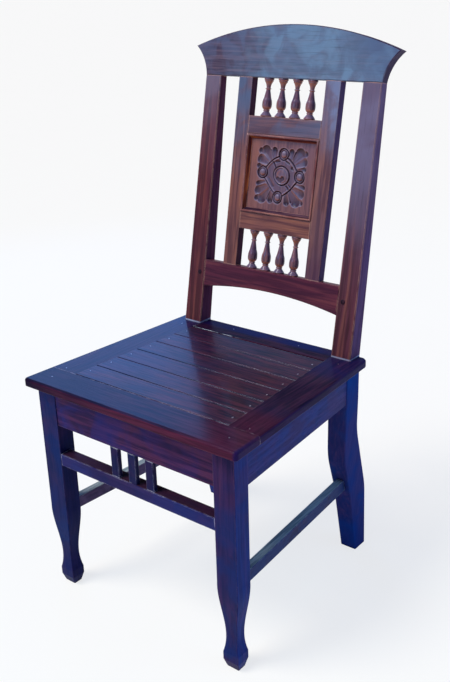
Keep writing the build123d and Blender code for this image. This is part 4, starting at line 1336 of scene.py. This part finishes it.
def smooth_step(low: float, high: float, value: np.ndarray) -> np.ndarray:
    """Rises smoothly from 0 at low to 1 at high, or falls where low is the larger."""
    share = np.clip((value - low) / (high - low), 0.0, 1.0)
    return share * share * (3.0 - 2.0 * share)


@dataclass(frozen=True)
class Gouge:
    """One scooped cut of the carving, along a straight line with round ends, in millimetres.

    Attributes:
        start, end: The line's ends, from the panel's middle.
        radii: Half widths at the start and at the end.
        depths: Depths at the start and at the end.
        wall: How steep the cut's walls are: near 0 they are upright, at 1 the cut is a bowl.
    """

    start: tuple[float, float]
    end: tuple[float, float]
    radii: tuple[float, float]
    depths: tuple[float, float]
    wall: float = 0.32

    def cut(self, u: np.ndarray, v: np.ndarray, flip: tuple[int, int] = (1, 1)) -> np.ndarray:
        """Depth that the cut takes away.

        Args:
            u, v: Places from the panel's middle.
            flip: Signs that carry the cut into another quarter of the panel.

        Returns:
            The depth at each place, from 0 outside the cut.
        """
        first = np.array(self.start) * flip * MM
        run = np.array(self.end) * flip * MM - first
        share = np.clip(((u - first[0]) * run[0] + (v - first[1]) * run[1]) / (run @ run), 0.0, 1.0)
        away = np.hypot(u - first[0] - share * run[0], v - first[1] - share * run[1])
        width = (self.radii[0] + (self.radii[1] - self.radii[0]) * share) * MM
        depth = (self.depths[0] + (self.depths[1] - self.depths[0]) * share) * MM
        return depth * np.clip(1.0 - (away / width) ** 2, 0.0, 1.0) ** self.wall


def hump(value: np.ndarray, middle: float, half_width: float) -> np.ndarray:
    """A half round ridge: 1 at the middle and 0 beyond the half width."""
    return np.sqrt(np.clip(1.0 - ((value - middle) / half_width) ** 2, 0.0, 1.0))


@dataclass
class CarvedPanel:
    """The panel in the back, carved in relief.

    Attributes:
        tongue: How far the panel reaches into its grooves.
        tongue_setback: The panel's face in front of the tongue.
        carved_half: Half width and half height of the carving.
        stray, stray_waves, stray_phase: How far the carver's hand strays, over which lengths, and where the
            stray up and down starts in its wave.
        ground: Depth of the cuts that set shapes apart.
        moat, moat_wall: Width of those cuts, and of their sloping outer walls.
        edge_blend: Half the width of the step from such a cut to a button or the rosette.
        button_radius, button_dome: The ringed buttons and the domes in them.
        button_floor, button_groove: Depth of a button's floor, and the gap between its ring and its dome.
        button_rises: How far the ring and the dome stand over that floor.
        plate_half: Half width and half height of the plate that joins the buttons.
        plate_bulge: How far the plate's upper and lower sides bulge: 1 is a lozenge, 2 an ellipse.
        plate_slant: Share of the plate's half width that turns its reach into a distance from its outline.
        plate_depth, plate_step: Depth of the plate, and where its edge's step starts and ends.
        rim_width, rim_proud: Width of the plate's raised rim, and how far it stands over the plain face.
        rosette_middle, rosette_radius, rosette_ring: The rosette's place, radius and ring.
        rosette_wall: Width of the sloping wall round the rosette.
        rosette_floors, rosette_rise: Depths that its ring and its dome start from, and how far both rise.
        rosette_overlap: How far the dome reaches under the ring.
        fine_step, border_lines: Spacing of the carving's mesh, and lines across the plain border.
        sanding: How many times the cut edges are softened.
        worked_scale, worked_blur: How far a tooled surface lies from the plain face, and its softening.
        cut_scale, surroundings: How far below its surroundings a cut takes full painted shade, and the
            softening
        that gives the near and the far surroundings.
        overhang_slopes, overhang_depth, overhang_share: Where a wall starts to overhang and where it fully
        does, the depth that it needs, and how dark its painted shade is.
        ridge_from: Share of the cut scale that a ridge has to stand proud before its painted highlight
            starts.
    """

    tongue: float = 6.0 * MM
    tongue_setback: float = 1.0 * MM
    carved_half: tuple[float, float] = (60.0 * MM, 56.0 * MM)
    stray: float = 0.8 * MM
    stray_waves: tuple[float, float, float] = (9.0 * MM, 4.0 * MM, 11.0 * MM)
    stray_phase: float = 1.0
    ground: float = 4.2 * MM
    moat: float = 1.8 * MM
    moat_wall: float = 0.6 * MM
    edge_blend: float = 0.4 * MM
    button_radius: float = 9.6 * MM
    button_dome: float = 7.2 * MM
    button_floor: float = 3.4 * MM
    button_groove: float = 0.4 * MM
    button_rises: tuple[float, float] = (3.0 * MM, 5.0 * MM)
    plate_half: tuple[float, float] = (40.0 * MM, 38.0 * MM)
    plate_bulge: tuple[float, float] = (1.42, 1.2)
    plate_slant: float = 0.8
    plate_depth: float = 1.3 * MM
    plate_step: tuple[float, float] = (0.5 * MM, -0.3 * MM)
    rim_width: float = 2.8 * MM
    rim_proud: float = 0.5 * MM
    rosette_middle: tuple[float, float] = (1.0 * MM, 2.0 * MM)
    rosette_radius: float = 16.4 * MM
    rosette_ring: float = 2.4 * MM
    rosette_wall: float = 0.5 * MM
    rosette_floors: tuple[float, float] = (2.4 * MM, 2.6 * MM)
    rosette_rise: float = 3.4 * MM
    rosette_overlap: float = 0.4 * MM
    fine_step: float = 0.45 * MM
    border_lines: int = 6
    sanding: int = 1
    worked_scale: float = 0.6 * MM
    worked_blur: int = 4
    cut_scale: float = 1.3 * MM
    surroundings: tuple[int, int] = (60, 400)
    overhang_slopes: tuple[float, float] = (0.25, 0.85)
    overhang_depth: float = 1.6 * MM
    overhang_share: float = 0.9
    ridge_from: float = 0.25

    NODE = "carved_panel"
    QUARTERS = ((1, 1), (-1, 1), (-1, -1), (1, -1))
    # Places of the buttons from the panel's middle, in millimetres
    BUTTONS = ((1.5, 41.2), (-42.3, 4.2), (41.5, 1.6), (-3.0, -38.6))
    LEAF = (
        Gouge((21.0, 20.0), (38.5, 43.6), (3.0, 10.2), (0.6, 4.6)),
        Gouge((16.0, 26.0), (18.8, 46.2), (3.0, 6.0), (0.6, 4.2)),
        Gouge((26.0, 20.0), (47.4, 29.0), (3.0, 9.0), (0.6, 3.8)),
        Gouge((33.0, 12.0), (51.2, 16.4), (2.0, 4.6), (0.6, 3.4)),
        Gouge((28.0, 26.0), (50.4, 44.4), (1.4, 5.2), (0.6, 3.4)),
        Gouge((24.0, 24.0), (43.0, 42.0), (0.8, 1.8), (2.2, 4.8), 0.8),
        Gouge((28.0, 21.5), (51.0, 33.0), (0.7, 1.5), (2.0, 4.2), 0.8),
        Gouge((20.0, 29.0), (28.0, 46.0), (0.6, 1.4), (2.0, 4.4), 0.8),
    )
    PLATE_CUTS = (
        Gouge((23.8, 16.8), (26.4, 14.0), (3.6, 2.2), (2.6, 1.4)),
        Gouge((12.5, -16.2), (21.2, -24.9), (1.5, 1.9), (2.4, 1.8)),
        Gouge((17.2, -13.4), (25.0, -20.0), (1.0, 1.6), (1.4, 1.8)),
        Gouge((-19.0, 24.6), (-12.0, 14.4), (1.8, 1.3), (2.2, 2.6)),
        Gouge((-13.6, 25.6), (-6.0, 27.6), (2.4, 1.5), (1.6, 2.2)),
        Gouge((9.0, 28.6), (16.0, 25.4), (1.6, 2.4), (2.0, 1.8)),
        Gouge((-27.0, -6.0), (-17.0, -19.0), (2.2, 3.4), (0.6, 1.2)),
    )
    HEART = (
        Gouge((-7.6, -6.4), (-3.4, -11.0), (4.2, 2.2), (3.6, 2.8)),
        Gouge((3.4, -4.6), (-2.6, -11.0), (4.2, 2.2), (3.6, 2.8)),
        Gouge((-2.4, -7.6), (-3.0, -10.6), (4.0, 2.6), (3.6, 3.0)),
    )

    def relief(self, across: np.ndarray, up: np.ndarray) -> np.ndarray:
        """Height of the carved face over the panel's plain face.

        Args:
            across, up: Places from the panel's middle.

        Returns:
            The height at each place; what is cut away is below zero.
        """
        upright, short, level = self.stray_waves
        u = across + self.stray * (np.sin(up / upright) + np.sin(across / short) / 2)
        v = up + self.stray * np.sin(across / level + self.stray_phase)
        depth = np.zeros(across.shape)
        for flip in self.QUARTERS:
            for gouge in self.LEAF:
                depth = np.maximum(depth, gouge.cut(u, v, flip))
        height = self._plate(-depth, u, v)
        for x, y in self.BUTTONS:
            height = self._button(height, np.hypot(u - x * MM, v - y * MM))
        return self._rosette(height, u - self.rosette_middle[0], v - self.rosette_middle[1])

    def _plate(self, height: np.ndarray, u: np.ndarray, v: np.ndarray) -> np.ndarray:
        """Lays the plate over the leaves: a moat, a raised rim and scrolled cuts."""
        power = np.where(v > 0.0, *self.plate_bulge)
        wide, tall = self.plate_half
        reach = ((np.abs(u) / wide) ** power + (np.abs(v) / tall) ** power) ** (1 / power)
        outside = (reach - 1.0) * self.plate_slant * wide
        height = self._sink(height, outside, self.moat_wall)
        body = smooth_step(*self.plate_step, outside)
        rim = hump(outside, -self.rim_width / 2, self.rim_width / 2)
        level = -self.plate_depth + (self.plate_depth + self.rim_proud) * rim
        for gouge in self.PLATE_CUTS:
            level = level - gouge.cut(u, v)
        return height * (1.0 - body) + level * body

    def _sink(self, height: np.ndarray, outside: np.ndarray, wall: float) -> np.ndarray:
        """Takes the carving down to its ground in and under a shape's moat.

        Args:
            height: The carving so far.
            outside: Distance from the shape's outline.
            wall: Width of the moat's sloping outer wall.

        Returns:
            The carving with the moat in it.
        """
        mask = smooth_step(self.moat + wall, self.moat, outside)
        return height * (1.0 - mask) - self.ground * mask

    def _set(self, height: np.ndarray, outside: np.ndarray, wall: float, shape: np.ndarray) -> np.ndarray:
        """Sets a round shape in a moat.

        Args:
            height: The carving so far.
            outside: Distance from the shape's outline.
            wall: Width of the moat's sloping outer wall.
            shape: The shape's own height.

        Returns:
            The carving with the shape in it.
        """
        body = smooth_step(self.edge_blend, -self.edge_blend, outside)
        return self._sink(height, outside, wall) * (1.0 - body) + shape * body

    def _button(self, height: np.ndarray, radius: np.ndarray) -> np.ndarray:
        """Sets a ringed button with a dome in a moat."""
        edge, inner = self.button_radius, self.button_dome + self.button_groove
        ring = self.button_rises[0] * hump(radius, (edge + inner) / 2, (edge - inner) / 2)
        dome = self.button_rises[1] * hump(radius, 0.0, self.button_dome)
        shape = np.maximum(ring, dome) - self.button_floor
        return self._set(height, radius - edge, self.moat_wall, shape)

    def _rosette(self, height: np.ndarray, u: np.ndarray, v: np.ndarray) -> np.ndarray:
        """Sets the rosette: a ring round a low dome with a heart cut in its foot."""
        radius = np.hypot(u, v)
        edge, band = self.rosette_radius, self.rosette_ring
        dome_edge = edge - band + self.rosette_overlap
        ring = self.rosette_rise * hump(radius, edge - band / 2, band / 2) - self.rosette_floors[0]
        dome = self.rosette_rise * hump(radius, 0.0, dome_edge) - self.rosette_floors[1]
        dome = dome - np.maximum.reduce([gouge.cut(u, v) for gouge in self.HEART])
        return self._set(height, radius - edge, self.rosette_wall, np.maximum(ring, dome))

    def _lines(self, half: float, inner: float) -> np.ndarray:
        """Places of the mesh's lines: wide apart on the plain border, close in the carving."""
        border = np.linspace(inner + self.fine_step, half, self.border_lines)
        carved = np.linspace(-inner, inner, int(2 * inner / self.fine_step) + 1)
        return np.concatenate((-border[::-1], carved, border))

    def build(self) -> list[str]:
        """Carves the panel and lets it stand for its CAD node.

        Returns:
            Names of the pieces.
        """
        low, high = RakedBack.span(self.NODE)
        middle = (low + high) / 2
        half = (high - low) / 2 - self.tongue
        face = RakedBack.span("panel_bead_top")[1][2]
        columns = self._lines(half[0], self.carved_half[0])
        rows = self._lines(half[1], self.carved_half[1])
        across, up = np.meshgrid(columns, rows)
        height = self._soften(self.relief(across, up), self.sanding)
        grid = np.stack((across + middle[0], up + middle[1], face - height), axis=-1)
        mesh = self._closed_mesh(grid, middle, face + self.tongue_setback, high[2])
        self._mark(mesh, height, np.gradient(height, rows, axis=0))
        mesh.materials.append(Finishes.CARVING.material(Grain.RAKED))
        piece = place_in_scene("carved_relief_panel", mesh)
        seat_piece(piece, "carved_wood", self.NODE)
        return [piece.name]

    @staticmethod
    def _soften(height: np.ndarray, times: int) -> np.ndarray:
        """Rounds the cut edges, as sanding does, as many times as asked."""
        for _ in range(times):
            soft = height.copy()
            soft[1:-1] = (height[:-2] + 2.0 * height[1:-1] + height[2:]) / 4.0
            height = soft.copy()
            height[:, 1:-1] = (soft[:, :-2] + 2.0 * soft[:, 1:-1] + soft[:, 2:]) / 4.0
        return height

    def _mark(self, mesh: bpy.types.Mesh, height: np.ndarray, slope: np.ndarray) -> None:
        """Marks the painted shade in the cuts and under overhangs, and the painted highlight on the ridges,
        for the finish.

        Args:
            mesh: The panel, its carved face's points first.
            height: The carving's height, by row and column.
            slope: How steeply the height rises up the panel, by row and column.
        """
        near, far = (self._soften(height, times) for times in self.surroundings)
        # Painted shade: dark where the face lies below its surroundings, and on walls that face down.
        low = np.clip(((near + far) / 2 - height) / self.cut_scale, 0.0, 1.0)
        start, full = self.overhang_slopes
        overhung = np.clip((slope - start) / (full - start), 0.0, 1.0)
        overhung = overhung * np.clip(-height / self.overhang_depth, 0.0, 1.0)
        worked = self._soften(np.abs(height) / self.worked_scale, self.worked_blur)
        marks = {
            CarvedFinish.WORKED: np.clip(worked, 0.0, 1.0),
            # Painted shade in the cuts and under overhangs.
            CarvedFinish.CUT_SHADE: np.maximum(low, self.overhang_share * overhung),
            # Painted highlight on the ridges.
            CarvedFinish.RIDGE_HIGHLIGHT: np.clip((height - near) / self.cut_scale - self.ridge_from, 0.0, 1.0),
        }
        for name, values in marks.items():
            whole = np.zeros(len(mesh.vertices))
            whole[: values.size] = values.ravel()
            mesh.attributes.new(name, "FLOAT", "POINT").data.foreach_set("value", whole)

    def _closed_mesh(
        self, grid: np.ndarray, middle: np.ndarray, tongue_front: float, back: float
    ) -> bpy.types.Mesh:
        """Closes the carved face into a solid with its tongue.

        Args:
            grid: The face's (across, rise, depth) by row and column.
            middle: The panel's middle.
            tongue_front, back: Depths of the tongue's front and of the panel's back.

        Returns:
            The closed mesh.
        """
        points = grid.reshape(-1, 3)
        index = np.arange(len(points)).reshape(grid.shape[:2])
        corners = (index[:-1, :-1], index[:-1, 1:], index[1:, 1:], index[1:, :-1])
        quads = np.stack(corners, axis=-1).reshape(-1, 4)
        rim = np.concatenate((index[0, :-1], index[:-1, -1], index[-1, :0:-1], index[:0:-1, 0]))
        edge = points[rim]
        away = np.abs(edge - middle)
        outward = np.sign(edge - middle) * np.isclose(away, away.max(axis=0))
        outer = edge + outward * self.tongue
        loops = [edge.copy(), outer.copy(), outer.copy()]
        for loop, depth in zip(loops, (tongue_front, tongue_front, back)):
            loop[:, 2] = depth
        places = RakedBack.place(np.concatenate((points, *loops)))
        faces = quads.tolist()
        previous = rim
        start = len(points)
        for _ in loops:
            current = np.arange(start, start + len(rim))
            start += len(rim)
            for here in range(len(rim)):
                there = (here + 1) % len(rim)
                faces.append([previous[there], previous[here], current[here], current[there]])
            previous = current
        faces.append(previous[::-1].tolist())
        mesh = bpy.data.meshes.new("carved_relief_panel")
        mesh.from_pydata(places.tolist(), [], [[int(corner) for corner in face] for face in faces])
        smooth = np.zeros(len(mesh.polygons), dtype=bool)
        smooth[: len(quads)] = True
        mesh.polygons.foreach_set("use_smooth", smooth)
        mesh.validate()
        recalculate(mesh)
        return mesh


@dataclass
class PanelBead:
    """The moulded bead round the panel: a round ridge by the frame, a quirk, and a slope down to a lip.

    Attributes:
        ridge, ridge_steps: Radius of the ridge, and its facets.
        quirk_depth, quirk_width: The quirk beside the ridge.
        lip_width, lip_height: The lip that the slope runs down to.
        lip_round: The lip's rounded edge, as insets from the panel's open face and heights.
        slope_steps, slope_fall: Facets of the slope, and how fast it falls at its start.
    """

    ridge: float = 2.0 * MM
    ridge_steps: int = 8
    quirk_depth: float = 0.8 * MM
    quirk_width: float = 0.5 * MM
    lip_width: float = 0.9 * MM
    lip_height: float = 1.5 * MM
    lip_round: tuple[tuple[float, float], ...] = ((0.3 * MM, 1.3 * MM), (0.0, 0.9 * MM), (0.0, 0.0))
    slope_steps: int = 6
    slope_fall: float = 1.4

    SIDES = ("bottom", "right", "top", "left")
    # The top and left slopes take the painted shade copy.
    SHADED_SIDES = ("top", "left")

    def build(self) -> list[str]:
        """Makes the four mitred lengths of bead.

        Returns:
            Names of the pieces.
        """
        names = []
        for turn, side in enumerate(self.SIDES):
            node = f"panel_bead_{side}"
            piece = place_in_scene(f"moulded_{node}", self._mesh(node, turn))
            grain = Grain.ACROSS if turn % 2 == 0 else Grain.RAKED
            slope = Finishes.SHADED_SLOPE if side in self.SHADED_SIDES else Finishes.LIT_SLOPE
            for finish in (Finishes.BEAD, slope):
                piece.data.materials.append(finish.material(grain))
            seat_piece(piece, "carved_wood", node)
            names.append(piece.name)
        return names

    def section(self, width: float, height: float) -> list[tuple[float, float]]:
        """The bead's section.

        Args:
            width: From the frame to the panel's open face.
            height: From the panel's face to the ridge.

        Returns:
            Points as (inset from the frame, height over the panel), round the section.
        """
        shoulder = height - self.ridge
        points = [(0.0, 0.0), (0.0, shoulder)]
        for step in range(self.ridge_steps + 1):
            angle = math.pi - math.pi * step / self.ridge_steps
            points.append((self.ridge * (1.0 + math.cos(angle)), shoulder + self.ridge * math.sin(angle)))
        floor = shoulder - self.quirk_depth
        points.append((2 * self.ridge, floor))
        start = 2 * self.ridge + self.quirk_width
        run, fall = width - self.lip_width - start, floor - self.lip_height
        for step in range(self.slope_steps + 1):
            share = step / self.slope_steps
            inset = start + run * math.sin(share * math.pi / 2)
            points.append((inset, self.lip_height + fall * (1.0 - share) ** self.slope_fall))
        return points + [(width - inset, rise) for inset, rise in self.lip_round]

    def _mesh(self, node: str, turn: int) -> bpy.types.Mesh:
        """One length of bead, mitred at both ends.

        Args:
            node: The CAD node that it stands for.
            turn: Quarter turns from the bottom length.

        Returns:
            The closed mesh.
        """
        low, high = RakedBack.span(node)
        spans = [RakedBack.span(f"panel_bead_{side}") for side in self.SIDES]
        opening_low = np.minimum.reduce([span[0] for span in spans])
        opening_high = np.maximum.reduce([span[1] for span in spans])
        middle, half = (opening_low + opening_high) / 2, (opening_high - opening_low) / 2
        long, short = (0, 1) if turn % 2 == 0 else (1, 0)
        section = self.section(high[short] - low[short], high[2] - low[2])
        local = [
            (end * (half[long] - inset), inset - half[short], high[2] - rise)
            for end in (-1, 1)
            for inset, rise in section
        ]
        cosine, sine = round(math.cos(turn * math.pi / 2)), round(math.sin(turn * math.pi / 2))
        placed = [
            (cosine * x - sine * y + middle[0], sine * x + cosine * y + middle[1], z) for x, y, z in local
        ]
        count = len(section)
        faces = [
            (step, (step + 1) % count, count + (step + 1) % count, count + step) for step in range(count)
        ]
        faces += [tuple(range(count)), tuple(range(2 * count - 1, count - 1, -1))]
        mesh = bpy.data.meshes.new(f"moulded_{node}")
        mesh.from_pydata(RakedBack.place(placed).tolist(), [], faces)
        for step in range(self.ridge_steps + 2, count - len(self.lip_round)):
            mesh.polygons[step].material_index = 1
        recalculate(mesh)
        return mesh


def recalculate(mesh: bpy.types.Mesh) -> None:
    """Turns every face of a closed mesh outwards."""
    shell = bmesh.new()
    shell.from_mesh(mesh)
    bmesh.ops.recalc_face_normals(shell, faces=shell.faces)
    shell.to_mesh(mesh)
    shell.free()


@dataclass(frozen=True)
class Coat:
    """A finish and the CAD nodes that take it.

    Attributes:
        finish: The finish.
        nodes: The nodes' names.
        grain: Which way the grain runs; metal has none.
    """

    finish: WoodFinish | MetalFinish
    nodes: tuple[str, ...]
    grain: Grain | None = None

    def lay(self) -> tuple[str, ...]:
        """Gives the nodes their finish and returns their names."""
        material = self.finish.material() if self.grain is None else self.finish.material(self.grain)
        for node in self.nodes:
            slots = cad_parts[node].data.materials
            slots.clear()
            slots.append(material)
        return self.nodes


class Assembly(ABC):
    """A sub-assembly whose CAD nodes already have their shape, so they are only finished."""

    @abstractmethod
    def coats(self) -> tuple[Coat, ...]:
        """The finishes of the sub-assembly's nodes."""

    def dress(self) -> list[str]:
        """Finishes the nodes and returns their names."""
        return [name for coat in self.coats() for name in coat.lay()]


class BackAssembly(Assembly):
    """Posts, crest, rails and stiles of the back."""

    def coats(self) -> tuple[Coat, ...]:
        """The finishes of the back's pieces."""
        return (
            Coat(Finishes.POST, ("back_post_left",), Grain.RAKED),
            Coat(Finishes.RIGHT_POST, ("back_post_right",), Grain.RAKED),
            Coat(Finishes.STILE, ("back_stile_left",), Grain.RAKED),
            Coat(Finishes.RIGHT_STILE, ("back_stile_right",), Grain.RAKED),
            Coat(Finishes.CREST, ("crest_rail",), Grain.ACROSS),
            Coat(Finishes.STILE, ("panel_top_rail", "panel_bottom_rail"), Grain.ACROSS),
            Coat(Finishes.LOWER_RAIL, ("lower_back_rail",), Grain.ACROSS),
        )


@dataclass
class SeatAssembly(Assembly):
    """Boards, slats and pins of the seat.

    Attributes:
        slat_count: How many slats lie between the boards.
    """

    slat_count: int = 6

    def coats(self) -> tuple[Coat, ...]:
        """The finishes of the seat's pieces."""
        return (
            Coat(Finishes.SEAT, numbered("seat_slat", self.slat_count), Grain.ACROSS),
            Coat(Finishes.SEAT_RIM, ("seat_front_board",), Grain.ACROSS),
            Coat(Finishes.SEAT_REAR, ("seat_rear_board",), Grain.ACROSS),
            Coat(Finishes.SEAT_SIDE, ("seat_side_board_left",), Grain.FRONT_TO_BACK),
            Coat(Finishes.SEAT_RIGHT, ("seat_side_board_right",), Grain.FRONT_TO_BACK),
            Coat(Finishes.PIN, ("slat_pins", "board_pins")),
        )


@dataclass
class UnderAssembly(Assembly):
    """Legs, aprons, stretchers, bars and corner blocks under the seat.

    Attributes:
        bar_count: How many bars stand on the front stretcher.
    """

    bar_count: int = 3

    def coats(self) -> tuple[Coat, ...]:
        """The finishes of the pieces under the seat."""
        blocks = both_sides("corner_block_front") + both_sides("corner_block_rear")
        return (
            Coat(Finishes.SHADED_LEFT_LEG, ("front_leg_left",), Grain.UPRIGHT),
            Coat(Finishes.UNDERFRAME, ("front_leg_right",), Grain.UPRIGHT),
            Coat(Finishes.FRONT_APRON, ("front_apron",), Grain.ACROSS),
            Coat(Finishes.UNDERFRAME, ("rear_apron",), Grain.ACROSS),
            Coat(Finishes.UNDERFRAME, both_sides("side_apron"), Grain.FRONT_TO_BACK),
            Coat(Finishes.LEFT_STRETCHER, ("side_stretcher_left",), Grain.FRONT_TO_BACK),
            Coat(Finishes.STRETCHER, ("side_stretcher_right",), Grain.FRONT_TO_BACK),
            Coat(Finishes.FRONT_STRETCHER, ("front_stretcher",), Grain.ACROSS),
            Coat(Finishes.FRONT_BAR, numbered("front_bar", self.bar_count), Grain.UPRIGHT),
            Coat(Finishes.RAW, blocks, Grain.ACROSS),
            Coat(Finishes.SCREW, ("corner_screws",)),
        )


@dataclass(frozen=True)
class Softbox:
    """A large soft lamp that points at the chair.

    Attributes:
        name: The lamp's name.
        place: Where it stands.
        target: Where it points.
        size: Width and height.
        power: Watts.
        tint: Colour of the light.
    """

    name: str
    place: tuple[float, float, float]
    target: tuple[float, float, float]
    size: tuple[float, float]
    power: float
    tint: tuple[float, float, float]

    def build(self) -> None:
        """Puts the lamp in the scene."""
        lamp = bpy.data.lights.new(self.name, "AREA")
        lamp.shape = "RECTANGLE"
        lamp.size, lamp.size_y = self.size
        lamp.energy = self.power
        lamp.color = self.tint
        holder = place_in_scene(self.name, lamp)
        holder.visible_camera = False
        way = Vector(self.target) - Vector(self.place)
        turn = way.to_track_quat("-Z", "Y").to_matrix().to_4x4()
        holder.matrix_world = Matrix.Translation(self.place) @ turn


@dataclass
class Studio:
    """A pale floor, soft light and the camera.

    Attributes:
        floor_half: Half the floor's side.
        floor_white: Share of plain white in the floor as it is seen.
        floor_tones, floor_mottle: The two colours that the floor is mottled in, and the cells in a metre.
        floor_roughness, floor_shine: How rough the floor is, and how strongly it mirrors.
        sun_strength, sun_width, sun_from: The soft sun's strength, its width in the sky and its side.
        sun_tint: Colour of the sun.
        sky_strength: Strength of the sky's light.
        sky_tones, sky_top: The sky's colours low down and high up, and where the second is full.
        white_to: How high in the sky the white background ends, from and to.
        camera_place, camera_target: Where the camera stands and what it looks at.
        camera_roll: The camera's tilt to one side.
        lens, sensor: Focal length and the sensor's height, in millimetres.
    """

    floor_half: float = 400.0
    floor_white: float = 0.74
    floor_tones: tuple[Colour, Colour] = (screen_colour(252, 248, 238), screen_colour(249, 245, 235))
    floor_mottle: float = 3.0
    floor_roughness: float = 0.9
    floor_shine: float = 0.1
    sun_strength: float = 2.5
    sun_width: float = math.radians(24.0)
    sun_from: tuple[float, float, float] = (-0.35, -0.45, 0.85)
    sun_tint: tuple[float, float, float] = (1.0, 0.94, 0.82)
    sky_strength: float = 0.4
    sky_tones: tuple[Colour, Colour] = ((0.30, 0.46, 1.0, 1.0), (0.36, 0.55, 1.0, 1.0))
    sky_top: float = 0.8
    white_to: tuple[float, float] = (0.13, 0.21)
    camera_place: tuple[float, float, float] = (0.9692, -1.17098, 1.0740)
    camera_target: tuple[float, float, float] = (0.0061, 0.0109, 0.4697)
    camera_roll: float = math.radians(-1.77)
    lens: float = 47.59
    sensor: float = 36.0

    WHITE = (1.0, 1.0, 1.0, 1.0)
    SOFTBOXES = (
        Softbox("sky left", (-2.1, 1.34, 1.35), (-0.1, 0.0, 0.43), (1.3, 1.1), 8.5, (0.16, 0.38, 1.0)),
        Softbox("sky front", (-0.72, -2.75, 1.95), (0.0, 0.2, 0.95), (1.7, 1.0), 28.0, (0.26, 0.62, 1.0)),
        Softbox("sky right", (2.7, 0.9, 1.7), (0.1, 0.1, 0.4), (1.8, 1.6), 16.0, (0.34, 0.58, 1.0)),
    )

    def build(self) -> None:
        """Builds the floor, the lights and the camera."""
        self._floor()
        self._world()
        self._sun()
        for softbox in self.SOFTBOXES:
            softbox.build()
        self._camera()
        bpy.context.scene.view_settings.view_transform = "Standard"

    def _floor(self) -> None:
        """A plain pale floor that shows near white and keeps the chair's shadow."""
        half = self.floor_half
        corners = [(-half, -half, 0.0), (half, -half, 0.0), (half, half, 0.0), (-half, half, 0.0)]
        mesh = bpy.data.meshes.new("floor")
        mesh.from_pydata(corners, [], [(0, 1, 2, 3)])
        material = bpy.data.materials.new("pale floor")
        material.use_nodes = True
        bench = NodeBench(material.node_tree)
        shader = material.node_tree.nodes["Principled BSDF"]
        place = bench.add("ShaderNodeTexCoord").outputs["Object"]
        mottle = bench.noise(place, self.floor_mottle, detail=2.0)
        bench.feed(shader.inputs["Base Color"], bench.mix(mottle, *self.floor_tones))
        shader.inputs["Roughness"].default_value = self.floor_roughness
        shader.inputs["Specular IOR Level"].default_value = self.floor_shine
        white = bench.add("ShaderNodeEmission", {"Strength": 1.0}).outputs[0]
        share = bench.maths("MULTIPLY", self._seen(bench), self.floor_white)
        shown = bench.add("ShaderNodeMixShader", {0: share, 1: shader.outputs[0], 2: white}).outputs[0]
        bench.feed(material.node_tree.nodes["Material Output"].inputs["Surface"], shown)
        mesh.materials.append(material)
        place_in_scene("floor", mesh)

    @staticmethod
    def _seen(bench: NodeBench) -> Socket:
        """Whether a surface is seen, straight or in a mirror or glass, rather than giving light.

        Args:
            bench: The bench of the material or the world.

        Returns:
            One where it is seen, else zero.
        """
        ray = bench.add("ShaderNodeLightPath").outputs
        seen = bench.maths("MAXIMUM", ray["Is Camera Ray"], ray["Is Glossy Ray"])
        return bench.maths("MAXIMUM", seen, ray["Is Transmission Ray"])

    def _sun(self) -> None:
        """A wide soft sun from above, in front and to the left."""
        lamp = bpy.data.lights.new("soft sun", "SUN")
        lamp.energy = self.sun_strength
        lamp.angle = self.sun_width
        lamp.color = self.sun_tint
        holder = place_in_scene("soft sun", lamp)
        holder.rotation_euler = (-Vector(self.sun_from)).to_track_quat("-Z", "Y").to_euler()

    def _world(self) -> None:
        """A soft blue sky that is seen as white low down, behind the floor."""
        world = bpy.data.worlds.new("soft sky")
        bpy.context.scene.world = world
        world.use_nodes = True
        bench = NodeBench(world.node_tree)
        background = world.node_tree.nodes["Background"]
        way = bench.add("ShaderNodeTexCoord").outputs["Generated"]
        rise = bench.part(way, "Z")
        sky = bench.mix(bench.ramp(rise, 0.0, self.sky_top), *self.sky_tones)
        white = bench.maths("MULTIPLY", self._seen(bench), bench.ramp(rise, *self.white_to, 1.0, 0.0))
        bench.feed(background.inputs["Color"], bench.mix(white, sky, self.WHITE))
        bench.feed(background.inputs["Strength"], bench.ramp(white, 0.0, 1.0, self.sky_strength, 1.0))

    def _camera(self) -> None:
        """Sets the camera at the photograph's viewing angle."""
        camera = bpy.data.cameras.new("camera")
        camera.sensor_fit = "VERTICAL"
        camera.sensor_height = self.sensor
        camera.lens = self.lens
        camera.dof.use_dof = False
        holder = place_in_scene("camera", camera)
        way = (Vector(self.camera_target) - Vector(self.camera_place)).normalized()
        right = way.cross(Vector((0.0, 0.0, 1.0))).normalized()
        up = right.cross(way)
        level = Matrix((right, up, -way)).transposed().to_4x4()
        roll = Matrix.Rotation(self.camera_roll, 4, "Z")
        holder.matrix_world = Matrix.Translation(self.camera_place) @ level @ roll
        bpy.context.scene.camera = holder


def main() -> None:
    """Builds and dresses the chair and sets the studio."""
    logging.basicConfig(level=logging.INFO, format="%(name)s: %(message)s")
    SharedEffects()
    steps: dict[str, Callable[[], list[str]]] = {
        "back": BackAssembly().dress,
        "seat": SeatAssembly().dress,
        "underframe": UnderAssembly().dress,
        "carving": CarvedPanel().build,
        "bead": PanelBead().build,
        "lower balusters": BalusterRow("lower").build,
        "upper balusters": BalusterRow("upper").build,
        "pegs": RailPegs().build,
    }
    for label, step in steps.items():
        for name in step():
            log.info("%s: %s", label, name)
    Studio().build()


if __name__ == "__main__":
    main()
